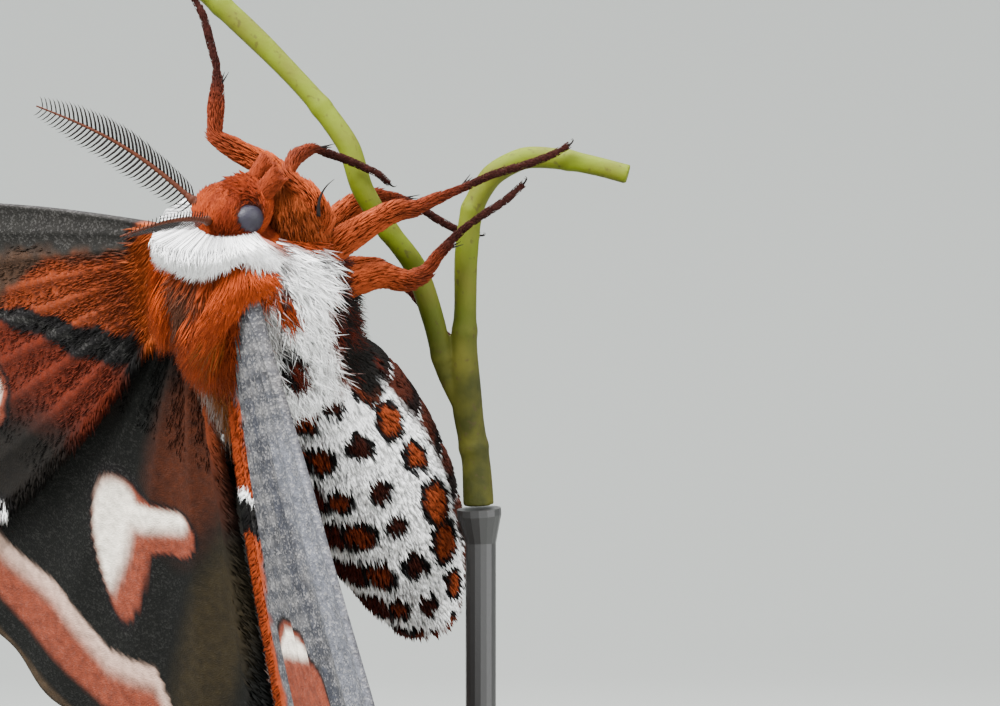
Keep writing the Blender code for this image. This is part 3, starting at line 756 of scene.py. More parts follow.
@dataclass(frozen=True)
class WingSeat:
    """Where a pair of wings is rooted, how its plane is turned, and its own run of marks.

    The line and the band give rows of places along the span: the line its middle, the
    band its width from the front edge.
    """

    root: tuple[float, float, float]
    span: tuple[float, float, float]
    chord: tuple[float, float, float]
    sign: float
    turn: float
    line: tuple
    band: tuple


SEATS = {
    WingSide.RIGHT: WingSeat(
        (4.6, 3.2, 6.0),
        (0.235, -0.30, -0.925),
        (-0.139, 0.931, -0.3375),
        -1.0,
        0.0,
        ((-2, 6, 9, 11.6, 14, 17), (12.0, 15.0, 16.0, 15.0, 9.0, -4.0)),
        ((0, 7, 12, 19, 25, 34, 60), (7.5, 8.5, 12.0, 19.0, 23.0, 26.0, 20.0)),
    ),
    WingSide.LEFT: WingSeat(
        (5.2, 3.4, -6.2),
        (-0.78, 0.60, 0.04),
        (0.16, 0.27, -0.95),
        1.0,
        12.0,
        ((0, 7, 12, 16.5, 21.7, 27, 32), (9.6, 9.0, 8.7, 7.4, 6.7, 4.0, -4.0)),
        ((0, 6, 13, 21, 40, 60), (1.7, 2.2, 3.2, 3.7, 4.4, 4.0)),
    ),
}


@dataclass
class Wing:
    """One wing: a thin vane with raised veins, and the markings of both its faces."""

    side: WingSide
    fore: bool
    inset: float = -1.6
    half: float = 0.17
    root_half: float = 0.6
    vein_rise: float = 0.2
    vein_width: float = 0.32
    billow: float = 0.12
    scallop: float = 0.006
    drop: float = 1.5
    root_drop: float = 0.5
    columns_a_vein: int = 12
    steps: int = 165
    fore_ends: tuple = (
        *((69.0, 2.2), (73.5, 6.0), (72.5, 10.5), (68.5, 15.0), (64.0, 19.5), (59.5, 24.0)),
        *((55.0, 28.5), (50.0, 32.5), (44.5, 35.0)),
    )
    fore_bend: tuple = ((35.0, -5.5), (19.0, 24.0))
    fore_front: tuple = ((0, 17, 35, 52, 69), (-1.0, -2.5, -2.7, -1.3, 2.2))
    hind_root: tuple = (2.0, 4.6)
    hind_angles: tuple = (-3.0, 9.0, 21.0, 33.0, 45.0, 57.0, 69.0, 80.0)
    hind_radii: tuple = (40.0, 43.5, 45.0, 45.0, 46.0, 47.5, 48.5, 45.0)

    @property
    def name(self) -> str:
        """The name of the node it stands for."""
        return f"{'fore' if self.fore else 'hind'}wing_{self.side.value}"

    @property
    def right(self) -> bool:
        """Whether it is on the moth's right side."""
        return self.side is WingSide.RIGHT

    @property
    def veins(self) -> int:
        """The number of fields between its main veins."""
        return len(self.fore_ends if self.fore else self.hind_angles) - 1

    def axes(self) -> tuple:
        """Its origin, its span, its chord and the way its upper face looks.

        Returns:
            The four of them.
        """
        seat = SEATS[self.side]
        span = unit(seat.span)
        chord = squared_up(span, np.array(seat.chord))
        return TRUNK.place(*seat.root), span, chord, seat.sign * np.cross(span, chord)

    def flat(self, index: np.ndarray, share: np.ndarray) -> np.ndarray:
        """Places in its plane from a vein number and a share toward the margin.

        Args:
            index: how many fields lie in front.
            share: the share of the way to the margin.

        Returns:
            Distances along span and chord.
        """
        part = index / self.veins
        numbers = np.arange(self.veins + 1)
        if self.fore:
            start = np.stack((np.full_like(part, self.inset), -1.0 + 3.5 * part), -1)
            first, last = (np.array(v) for v in self.fore_bend)
            ends = np.array(self.fore_ends)
            end = np.stack([np.interp(index, numbers, ends[:, k]) for k in (0, 1)], -1)
        else:
            turn, root = SEATS[self.side].turn, np.array(self.hind_root)
            angle = np.radians(np.interp(index, numbers, self.hind_angles) + turn)
            reach = np.interp(index, numbers, self.hind_radii)[..., None]
            front = math.radians(self.hind_angles[0] + turn) - 0.1
            rear = math.radians(self.hind_angles[-1] + turn) + 0.1
            start = root + np.stack((np.full_like(part, self.inset), -1.0 + 1.6 * part), -1)
            first = root + 20 * np.array((math.cos(front), math.sin(front)))
            last = root + 16 * np.array((math.cos(rear), math.sin(rear)))
            end = root + reach * np.stack((np.cos(angle), np.sin(angle)), -1)
        return bent(start, first * (1 - part[..., None]) + last * part[..., None], end, share)

    def height(self, flat: np.ndarray, share: np.ndarray) -> np.ndarray:
        """The rise of its surface over its plane.

        Args:
            flat: places in its plane.
            share: the share of the way to the margin.

        Returns:
            One height a place.
        """
        fold = np.exp(-np.maximum(flat[..., 1] + 2.5, 0.0) / 4.5)
        rise = -2.4 * fold + 2.4 * math.exp(-2.5 / 4.5) - 0.001 * flat[..., 0] ** 2
        return rise if self.fore else rise - self.drop - self.root_drop * np.exp(-share / 0.06)

    def place(self, flat: np.ndarray, share: np.ndarray, above: np.ndarray) -> np.ndarray:
        """Points at a height over its surface.

        Args:
            flat: places in its plane.
            share: the share of the way to the margin.
            above: the height.

        Returns:
            The points.
        """
        origin, span, chord, up = self.axes()
        rise = self.height(flat, share) + above
        return origin + flat[..., :1] * span + flat[..., 1:] * chord + rise[..., None] * up

    @staticmethod
    def spots(flat: np.ndarray) -> np.ndarray:
        """Places in its plane on a map from 0 to 1."""
        return np.stack((flat[..., 0] / 90 + 0.05, flat[..., 1] / 90 + 0.25), -1).reshape(-1, 2)

    def form(self) -> Form:
        """Its mesh with markings on both faces.

        Returns:
            Its points, faces and attributes.
        """
        columns = self.veins * self.columns_a_vein
        across, toward = np.linspace(0, self.veins, columns + 1), np.linspace(0, 1, self.steps + 1)
        index, share = np.meshgrid(across, toward, indexing="ij")
        wavy = 1.0 + self.scallop * np.cos(index * FULL) * step(0.85, 1.0, share)
        flat = self.flat(index, share * wavy)
        spread = np.linalg.norm(np.gradient(flat, axis=0), axis=-1) * self.columns_a_vein
        off_vein = np.abs(index - np.round(index)) * spread / self.vein_width
        vein = np.exp(-(off_vein**2)) * (1.0 - share) ** 0.7
        between = np.cos(index * FULL) * self.billow * step(0.05, 0.4, share)
        half = self.half + (self.root_half - self.half) * np.exp(-share / 0.06)
        half = half * (1.0 - 0.5 * step(0.96, 1.0, share)) * (0.35 + 0.65 * step(0.0, 0.025, share))
        thick = half + self.vein_rise * vein
        faces = [self.place(flat, share, between + way * thick).reshape(-1, 3) for way in (1.0, -1.0)]
        count, row = len(faces[0]), self.steps + 1
        i, j = np.meshgrid(np.arange(columns), np.arange(self.steps), indexing="ij")
        a = (i * row + j).ravel()
        quads = np.stack((a, a + row, a + row + 1, a + 1), -1)
        along, over = np.arange(self.steps), np.arange(columns) * row
        edges = [
            np.stack((along, along + 1), -1),
            np.stack((along + 1, along), -1) + columns * row,
            np.stack((over + row, over), -1),
            np.stack((over, over + row), -1) + self.steps,
        ]
        rim = np.concatenate(edges)
        rim = np.column_stack((rim, rim[:, 1] + count, rim[:, 0] + count))
        tone = self.tint(flat, index / self.veins, share).reshape(-1, 3)
        below = blend(tone, srgb(112, 106, 106), np.full(count, 0.35))
        form = Form()
        form.add(
            np.concatenate(faces),
            np.concatenate((quads, quads[:, ::-1] + count, rim)),
            shade=np.concatenate((tone, below)),
            Scales=np.tile(self.spots(flat), (2, 1)),
        )
        return form

    def tint(self, flat: np.ndarray, across: np.ndarray, share: np.ndarray) -> np.ndarray:
        """Colours of the upper face at places in its plane."""
        return self._fore_tint(flat, across, share) if self.fore else self._hind_tint(flat)

    def banded(self, flat: np.ndarray, share: np.ndarray) -> np.ndarray:
        """Where the smooth grey band of the forewing's front edge is, from 0 to 1.

        Args:
            flat: places in its plane.
            share: the share of the way to the margin.

        Returns:
            One value a place.
        """
        in_from = flat[..., 1] - np.interp(flat[..., 0], *self.fore_front)
        width = np.interp(flat[..., 0], *SEATS[self.side].band)
        return step(0.6, -0.7, in_from - width + 0.5 * waves(flat, 1.1, 22)) * step(0.95, 0.8, share)

    def _fore_tint(self, flat: np.ndarray, across: np.ndarray, share: np.ndarray) -> np.ndarray:
        """The forewing's markings.

        Args:
            flat: places in its plane.
            across: the share of the way from the front edge to the rear one.
            share: the share of the way to the margin.

        Returns:
            One colour a place.
        """
        a, b = flat[..., 0], flat[..., 1]
        wander, fine = waves(flat, 0.25, 21), waves(flat, 1.1, 22)
        coat = Paint(DARK_BROWN, a.shape)
        beyond = b - np.interp(a, *SEATS[self.side].line) + 0.4 * fine
        warm = step(12.0, 4.0, beyond + 1.5 * wander) * within(a, 5.0, 10.0, 22.0, 34.0)
        coat.lay(srgb(122, 40, 10), warm)
        coat.lay(srgb(150, 60, 18), step(0.3, -0.3, beyond))
        if self.right:
            coat.lay(srgb(132, 54, 20), step(10.0, 7.0, a + 0.6 * fine))
            strip = step(0.62, 0.8, across) * step(0.75, 0.66, share)
            coat.lay(ORANGE, strip)
            coat.lay(WHITE, strip * within(share, 0.27, 0.28, 0.295, 0.305))
            coat.lay(BLACK, strip * within(share, 0.298, 0.308, 0.34, 0.35))
        else:
            top = np.interp(a, (7.0, 15.6, 21.3, 27.0), (1.1, 1.8, 5.4, 8.0))
            coat.lay(srgb(82, 56, 38), step(0.7, -0.7, b - top + 0.5 * fine) * step(0.5, -0.5, beyond))
        off = np.abs(beyond) / np.interp(a, (13.0, 21.7), (1.5, 0.8))
        keep = step(30.0, 26.0, a)
        coat.lay(BLACK, step(1.15, 0.9, off) * keep)
        coat.lay(srgb(84, 84, 78), step(0.5, 0.2, off + 0.5 * np.abs(fine)) * keep * 0.25)
        grey = self.banded(flat, share)
        if self.right:
            in_from = b - np.interp(a, *self.fore_front)
            # painted shade: the dark blue-grey line beside the pale front edge stands for the shade beside the
            # rounded front vein
            blue = step(1.5, 0.2, np.abs(in_from - 5.2 - 0.02 * a) / 1.3) * step(4.0, 9.0, a)
            coat.lay(srgb(92, 93, 99), grey)
            coat.lay(PALE_GREY, grey * step(-0.5, 0.9, waves(flat, 2.6, 24)) * 0.22)
            coat.lay(BLACK, grey * step(0.3, 0.9, waves(flat, 3.1, 25)) * 0.4)
            coat.lay(srgb(122, 124, 133), grey * step(4.2, 2.6, in_from) * step(8.0, 13.0, a) * 0.8)
            coat.lay(srgb(62, 66, 80), grey * blue * 0.6)
        else:
            # painted shade: the left forewing's grey band is much darker than the right one's, for the shade
            # the far wing lies in
            coat.lay(srgb(46, 44, 40), grey)
            coat.lay(BLACK, grey * step(0.2, 0.9, waves(flat * (0.3, 2.2), 2.0, 25)) * 0.6)
            coat.lay(srgb(190, 84, 28), step(5.2, 3.2, a + 0.6 * fine) * step(9.5, 7.5, b))
        spread = a + 0.33 * (b - 12.0)
        spot = np.hypot((spread - 29.6) / 6.7, (b - 11.4) / 6.4) + 0.02 * fine
        coat.lay(BLACK, step(1.12, 1.06, spot))
        coat.lay(BRICK, step(1.05, 0.97, spot))
        coat.lay(CREAM, step(0.96, 0.86, spot) * step(26.6, 25.4, spread))
        ripple = across * 8 * FULL
        outer = share + 0.012 * wander + 0.01 * np.cos(ripple)
        if not self.right:
            outer = outer + 0.05 * step(0.8, 1.0, across)
        coat.lay(BLACK, within(outer, 0.62, 0.655, 0.68, 0.71))
        coat.lay(WHITE, within(outer, 0.658, 0.666, 0.682, 0.692))
        coat.lay(BRICK, within(outer, 0.69, 0.705, 0.76, 0.83))
        coat.lay(srgb(92, 78, 72), step(0.76, 0.83, outer))
        coat.lay(TAN, step(0.905, 0.92, outer))
        coat.lay(DARK_BROWN, step(0.008, 0.004, np.abs(outer - 0.935 - 0.012 * np.sin(ripple))))
        eye = np.hypot((a - 67.0) / 2.6, (b - 6.8) / 2.0)
        moon = np.hypot((a - 66.2) / 1.9, (b - 6.8) / 1.5)
        coat.lay(srgb(190, 150, 150), step(1.9, 1.3, eye))
        coat.lay(BLACK, step(1.05, 0.95, eye))
        coat.lay(srgb(150, 170, 200), step(1.05, 0.95, moon) * step(0.85, 1.0, eye + 0.25 * (67.5 - a)))
        return coat.colour

    def _hind_tint(self, flat: np.ndarray) -> np.ndarray:
        """The hindwing's markings.

        Args:
            flat: places in its plane.

        Returns:
            One colour a place.
        """
        away = flat - np.array(self.hind_root)
        angle = math.radians(50.5 + SEATS[self.side].turn)
        ahead = np.array((math.cos(angle), math.sin(angle)))
        far, aside = away @ ahead, away @ np.array((-ahead[1], ahead[0]))
        wander = waves(flat, 0.3, 31)
        coat = Paint(srgb(19, 20, 15), far.shape)
        for paint, at, beside, long, wide, depth in (
            (srgb(98, 42, 12), 13.5, 6.0, 9.5, 4.4, 0.8),
            (srgb(66, 54, 28), 30.0, 12.5, 14.0, 3.6, 0.8),
            (srgb(56, 24, 9), 8.0, -6.0, 8.0, 4.0, 0.5),
        ):
            near = np.hypot((far - at) / long, (aside - beside) / wide) + 0.15 * wander
            coat.lay(paint, step(1.3, 0.5, near) * depth)
        off = far - 26.4
        body = np.hypot(off / 7.0, (aside - 0.25 * off - 0.6) / (3.4 - 0.12 * off))
        reach = np.clip((aside - 1.0) / 5.0, 0.0, 1.0)
        arm = np.hypot(off + 3.2 + 1.8 * reach, aside - 1.0 - 5.0 * reach) / 2.3
        spot = -np.log(np.exp(-4.0 * body) + np.exp(-4.0 * arm)) / 4.0 + 0.06 + 0.02 * wander
        coat.lay(BLACK, step(1.25, 1.1, spot))
        coat.lay(BRICK, step(1.06, 0.95, spot))
        pale = np.maximum(
            step(2.2, 0.0, aside + 0.12 * np.maximum(off, 0.0) ** 1.3) * step(1.0, 0.78, body),
            step(-1.0, -3.2, off + 0.53 * aside) * step(1.0, 0.7, arm) * step(7.6, 6.2, aside),
        )
        coat.lay(CREAM, pale)
        bearing = np.degrees(np.arctan2(away[..., 1], away[..., 0])) - SEATS[self.side].turn
        outer = np.linalg.norm(away, axis=-1) / np.interp(bearing, self.hind_angles, self.hind_radii)
        outer = outer + 0.005 * wander
        at = (-3, 10, 29, 36, 42, 48, 53, 58, 61.5, 64.5, 70, 80)
        inner = (0.79, 0.78, 0.797, 0.775, 0.757, 0.772, 0.788, 0.768, 0.755, 0.82, 0.86, 0.87)
        deep = outer - np.interp(bearing, at, inner)
        band = blend(srgb(204, 170, 152), BRICK, step(0.015, 0.07, deep))
        coat.lay(band, step(-0.004, 0.008, deep) * step(0.925, 0.9, outer))
        coat.lay(srgb(96, 76, 54), step(0.975, 0.985, outer) * 0.8)
        return coat.colour


class Nodes:
    """Adds nodes to one node tree."""

    tree: bpy.types.NodeTree

    def node(self, kind: str, inputs: dict | None = None, **settings: object) -> bpy.types.Node:
        """Adds one node. An input that is a socket is linked, any other one is set.

        Args:
            kind: its type.
            inputs: its inputs by name or number.
            settings: its other values.

        Returns:
            The node.
        """
        made = self.tree.nodes.new(kind)
        for key, value in settings.items():
            setattr(made, key, value)
        for key, value in (inputs or {}).items():
            if isinstance(value, Socket):
                self.tree.links.new(value, made.inputs[key])
            else:
                made.inputs[key].default_value = value
        return made


class Shader(Nodes):
    """The nodes of one material on its Principled shader."""

    def __init__(self, name: str, roughness: float, specular: float = 0.5) -> None:
        """Makes the material and sets the shader's plain values.

        Args:
            name: the material's name.
            roughness: how dull it is.
            specular: how much it mirrors.
        """
        self.material = bpy.data.materials.new(name)
        self.material.use_nodes = True
        self.tree = self.material.node_tree
        self.out = self.tree.nodes["Principled BSDF"].inputs
        self.out["Roughness"].default_value = roughness
        self.out["Specular IOR Level"].default_value = specular

    def attribute(self, name: str, output: str = "Color") -> Socket:
        """One of the piece's own attributes."""
        return self.node("ShaderNodeAttribute", attribute_name=name).outputs[output]

    def mapped(self, value: Socket, *ends: float) -> Socket:
        """A value moved from one range to another: from low, high, to low, high."""
        keys = ("From Min", "From Max", "To Min", "To Max")
        return self.node("ShaderNodeMapRange", {"Value": value, **dict(zip(keys, ends))}).outputs["Result"]

    def times(self, first: Socket, second: Socket) -> Socket:
        """The product of two values."""
        return self.node("ShaderNodeMath", {0: first, 1: second}, operation="MULTIPLY").outputs[0]

    def mixed(self, factor: Value, first: Value, second: Value, blend_type: str = "MIX") -> Socket:
        """Two colours mixed by a factor; each is a socket or three values.

        Args:
            factor: the second one's share.
            first: one colour.
            second: the other one.
            blend_type: how they mix.

        Returns:
            The mixed colour.
        """
        first, second = (v if isinstance(v, Socket) else (*v, 1.0) for v in (first, second))
        inputs = {0: factor, 6: first, 7: second}
        return self.node("ShaderNodeMix", inputs, data_type="RGBA", blend_type=blend_type).outputs[2]

    def dimmed(self, colour: Socket, value: Socket) -> Socket:
        """A colour made darker or lighter by a value."""
        grey = self.node("ShaderNodeCombineColor", {0: value, 1: value, 2: value}).outputs[0]
        return self.mixed(1.0, colour, grey, "MULTIPLY")

    def _own(self, kind: str, inputs: dict, **settings: object) -> bpy.types.bpy_prop_collection:
        """A texture on the object's own coordinates."""
        own = self.node("ShaderNodeTexCoord").outputs["Object"]
        return self.node(kind, {"Vector": own, **inputs}, **settings).outputs

    def noise(self, scale: float, detail: float = 3.0) -> Socket:
        """A noise on the object's own coordinates."""
        return self._own("ShaderNodeTexNoise", {"Scale": scale, "Detail": detail})["Fac"]

    def cells(self, scale: float) -> bpy.types.bpy_prop_collection:
        """Small cells on the object's own coordinates."""
        return self._own("ShaderNodeTexVoronoi", {"Scale": scale}, feature="F1")

    def finish(self, colour: Socket, *bump: object) -> Material:
        """Sets the base colour and a bump of height, depth in metres and strength.

        Args:
            colour: the base colour.
            bump: the bump's three values, or none.

        Returns:
            The finished material.
        """
        self.tree.links.new(colour, self.out["Base Color"])
        if bump:
            made = self.node("ShaderNodeBump", dict(zip(("Height", "Distance", "Strength"), bump)))
            self.tree.links.new(made.outputs["Normal"], self.out["Normal"])
        return self.material


@dataclass(frozen=True)
class Finish:
    """A dry surface in its piece's own colours, broken by a grain.

    The grain gives the noise's scale and detail, its darkest and its lightest tone; bump
    its depth and strength. Root and tip are painted shade and painted light along each hair:
    the root is darkened as if in the shade of the hairs over it, the tip is lightened.
    """

    name: str
    roughness: float
    specular: float
    grain: tuple[float, float, float, float]
    bump: tuple = ()
    root: float = 1.0
    tip: float = 1.0

    def material(self) -> Material:
        """Builds it.

        Returns:
            The material.
        """
        shader = Shader(self.name, self.roughness, self.specular)
        noise = shader.noise(*self.grain[:2])
        tone = shader.mapped(noise, 0.3, 0.7, *self.grain[2:])
        # painted shade at the root of each hair and painted light at its tip
        if self.root < 1.0:
            along = shader.attribute("along", "Fac")
            tone = shader.times(tone, shader.mapped(along, 0.0, 0.7, self.root, self.tip))
        bump = (noise, *self.bump) if self.bump else ()
        return shader.finish(shader.dimmed(shader.attribute("shade"), tone), *bump)


# root and tip: painted shade at the hair roots, painted light at the tips
HAIR = Finish("scale_hair", 0.85, 0.12, (900.0, 3.0, 0.86, 1.1), root=0.54, tip=1.06)
FINE_HAIR = Finish("fine_scale_hair", 0.85, 0.12, (900.0, 3.0, 0.86, 1.1), root=0.8, tip=1.04)
SCALED_SKIN = Finish("scaled_skin", 0.9, 0.1, (2600.0, 4.0, 0.5, 0.8), (0.0002, 0.8))
HORN = Finish("horn", 0.7, 0.15, (3000.0, 2.0, 0.8, 1.15), (0.00005, 0.5))


@dataclass(frozen=True)
class WingFinish:
    """Powdery scales: the markings broken by light and dark grains."""

    name: str = "wing_scales"
    grain: float = 6200.0

    def material(self) -> Material:
        """Builds it.

        Returns:
            The material.
        """
        shader = Shader(self.name, 0.85, 0.12)
        tone = shade = shader.attribute("shade")
        level = shader.node("ShaderNodeRGBToBW", {"Color": shade}).outputs[0]
        cells = shader.cells(self.grain)
        pick = shader.node("ShaderNodeSeparateColor", {0: cells["Color"]}).outputs[0]
        tint = shader.node("ShaderNodeSeparateColor", {0: shade}, mode="HSV").outputs[1]
        held = shader.mapped(level, 0.004, 0.035, 0.05, 0.26)
        for value, ends in ((tint, (0.18, 0.4, 1.0, 0.12)), (level, (0.3, 0.5, 1.0, 0.1))):
            held = shader.times(held, shader.mapped(value, *ends))
        for low, high, paint in ((0.74, 0.8, PALE_GREY), (0.34, 0.26, BLACK)):
            share = shader.times(shader.mapped(pick, low, high, 0.0, 1.0), held)
            tone = shader.mixed(share, tone, paint)
        cloud = shader.mapped(shader.noise(1300.0), 0.3, 0.7, 0.7, 1.25)
        return shader.finish(shader.dimmed(tone, cloud), cells["Distance"], 0.00008, 0.6)


@dataclass(frozen=True)
class EyeFinish:
    """A dull blue-grey eye of very fine facets, dark at its edge with the painted shade of its socket."""

    name: str = "faceted_eye"
    facets: float = 7000.0

    def material(self) -> Material:
        """Builds it.

        Returns:
            The material.
        """
        shader = Shader(self.name, 0.5, 0.25)
        cloud = shader.mapped(shader.noise(700.0), 0.35, 0.65, 0.0, 1.0)
        tone = shader.mixed(cloud, srgb(54, 50, 66), srgb(66, 61, 80))
        tone = shader.mixed(1.0, tone, shader.attribute("shade"), "MULTIPLY")
        return shader.finish(tone, shader.cells(self.facets)["Distance"], 0.00003, 0.5)


@dataclass(frozen=True)
class StemFinish:
    """Young green bark with browner patches, small dots and a rough skin."""

    name: str = "green_stem"

    def material(self) -> Material:
        """Builds it.

        Returns:
            The material.
        """
        shader = Shader(self.name, 0.7, 0.15)
        cloud = shader.mapped(shader.noise(320.0), 0.4, 0.7, 0.0, 0.7)
        dots = shader.mapped(shader.noise(1500.0, 2.0), 0.62, 0.7, 0.0, 0.55)
        tone = shader.mixed(cloud, shader.attribute("shade"), srgb(120, 116, 34))
        tone = shader.mixed(dots, tone, srgb(92, 74, 40))
        return shader.finish(tone, shader.noise(1100.0, 4.0), 0.00012, 0.6)


@dataclass(frozen=True)
class PlainFinish:
    """Two near tones in slow clouds, with a faint grain if it has one."""

    name: str
    roughness: float
    scale: float
    tones: tuple
    grain: float = 0.0

    def material(self) -> Material:
        """Builds it.

        Returns:
            The material.
        """
        shader = Shader(self.name, self.roughness)
        bump = (shader.noise(self.grain, 2.0), 0.00003, 0.4) if self.grain else ()
        return shader.finish(shader.mixed(shader.noise(self.scale), *self.tones), *bump)


def turned(across: np.ndarray, lie: np.ndarray, out: np.ndarray) -> np.ndarray:
    """Euler angles that turn X to across, Y to the lie and Z outward.

    Args:
        across: where X points.
        lie: where Y points.
        out: where Z points.

    Returns:
        One row a root.
    """
    side = np.arcsin(np.clip(-across[:, 2], -1.0, 1.0))
    roll = np.arctan2(lie[:, 2], out[:, 2])
    return np.column_stack((roll, side, np.arctan2(across[:, 1], across[:, 0])))


def root_form(
    places: np.ndarray,
    lie: np.ndarray,
    out: np.ndarray,
    size: tuple,
    shade: np.ndarray,
    spot: np.ndarray,
) -> Form:
    """Roots for the tuft tree.

    Args:
        places: the roots.
        lie: the way each solid runs.
        out: the way it stands up, square to the lie.
        size: its width, length and height.
        shade: its colour.
        spot: its place on the map OFBake.

    Returns:
        The points with what the tree reads.
    """
    form = Form()
    turn = turned(np.cross(lie, out), lie, out)
    spot = np.column_stack((spot, np.zeros(len(places))))
    form.add(places, np.zeros((0, 3), int), turn=turn, size=np.column_stack(size), shade=shade, spot=spot)
    return form


def small_solid(name: str, stations: tuple, sides: int) -> Object:
    """A small pointed solid that runs along +Y and leans to +Z.

    Args:
        name: its name.
        stations: rows of share along, rise, half width and half thickness; the last is the tip.
        sides: points round it.

    Returns:
        The object, one millimetre long, made to be set on roots.
    """
    turn = FULL * np.arange(sides) / sides
    rings = [
        np.column_stack((wide * np.cos(turn), np.full(sides, along), rise + high * np.sin(turn)))
        for along, rise, wide, high in stations[:-1]
    ]
    points = np.concatenate((*rings, [(0.0, stations[-1][0], stations[-1][1])]))
    ring = np.arange(sides)
    after = (ring + 1) % sides
    starts = np.arange(len(rings) - 1) * sides
    quads = [np.stack((k + ring, k + sides + ring, k + sides + after, k + after), -1) for k in starts]
    shift = (len(rings) - 1) * sides
    tip = np.stack((shift + ring, np.full(sides, shift + sides), shift + after), -1)
    form = Form()
    patch = np.column_stack((points[:, 0] + 0.5, points[:, 1], np.zeros(len(points))))
    form.add(points - THORAX_AT, np.concatenate(quads), along=points[:, 1], patch=patch)
    form.faces.extend((tip, ring[None]))
    return new_object(name, form.mesh(name))


class TuftTree(Nodes):
    """A Geometry Nodes tree that sets a small solid on every root point of a mesh.

    The root points carry the attributes turn, size, shade and spot; the small solid
    carries along and patch. The result carries shade, along and the map OFBake.
    """

    patch = 0.003

    def __init__(self) -> None:
        """Builds the tree."""
        self.tree = bpy.data.node_groups.new("solids_on_roots", "GeometryNodeTree")
        kinds = {"Geometry": "Geometry", "Solid": "Object", "Finish": "Material", "Patch Size": "Float"}
        new_socket = self.tree.interface.new_socket
        self.ids = {
            name: new_socket(name=name, in_out="INPUT", socket_type=f"NodeSocket{kind}").identifier
            for name, kind in kinds.items()
        }
        new_socket(name="Geometry", in_out="OUTPUT", socket_type="NodeSocketGeometry")
        start = self.node("NodeGroupInput")
        solid = self.node("GeometryNodeObjectInfo", {"Object": start.outputs["Solid"]})
        inputs = {"Points": start.outputs["Geometry"], "Instance": solid.outputs["Geometry"]}
        inputs.update({"Rotation": self._read("turn"), "Scale": self._read("size")})
        stand = self.node("GeometryNodeInstanceOnPoints", inputs)
        real = self.node("GeometryNodeRealizeInstances", {"Geometry": stand.outputs["Instances"]})
        inputs = {0: self._read("patch"), "Scale": start.outputs["Patch Size"]}
        scaled = self.node("ShaderNodeVectorMath", inputs, operation="SCALE")
        place = self.node("ShaderNodeVectorMath", {0: self._read("spot"), 1: scaled.outputs[0]})
        inputs = {"Geometry": real.outputs["Geometry"], "Name": "OFBake", "Value": place.outputs[0]}
        store = self.node("GeometryNodeStoreNamedAttribute", inputs, data_type="FLOAT2", domain="CORNER")
        inputs = {"Geometry": store.outputs["Geometry"], "Material": start.outputs["Finish"]}
        dress = self.node("GeometryNodeSetMaterial", inputs)
        self.node("NodeGroupOutput", {"Geometry": dress.outputs["Geometry"]})

    def _read(self, name: str) -> Socket:
        """The output of a node that reads a named attribute."""
        kind, inputs = "GeometryNodeInputNamedAttribute", {"Name": name}
        return self.node(kind, inputs, data_type="FLOAT_VECTOR").outputs["Attribute"]

    def grow(self, name: str, roots: Form, solid: Object, finish: Material) -> Object:
        """Sets the solid on every root and returns the plain object.

        Args:
            name: the piece's name.
            roots: points with turn, size, shade and spot.
            solid: the small solid.
            finish: the material.

        Returns:
            The finished object, in the frame, with no modifier.
        """
        made = new_object(name, roots.mesh(name), finish)
        live = made.modifiers.new("solids", "NODES")
        live.node_group = self.tree
        for key, value in (("Solid", solid), ("Finish", finish), ("Patch Size", self.patch)):
            live[self.ids[key]] = value
        plain = made_plain(made, finish)
        for key in ("turn", "size", "spot", "patch"):
            if key in plain.attributes:
                plain.attributes.remove(plain.attributes[key])
        return made


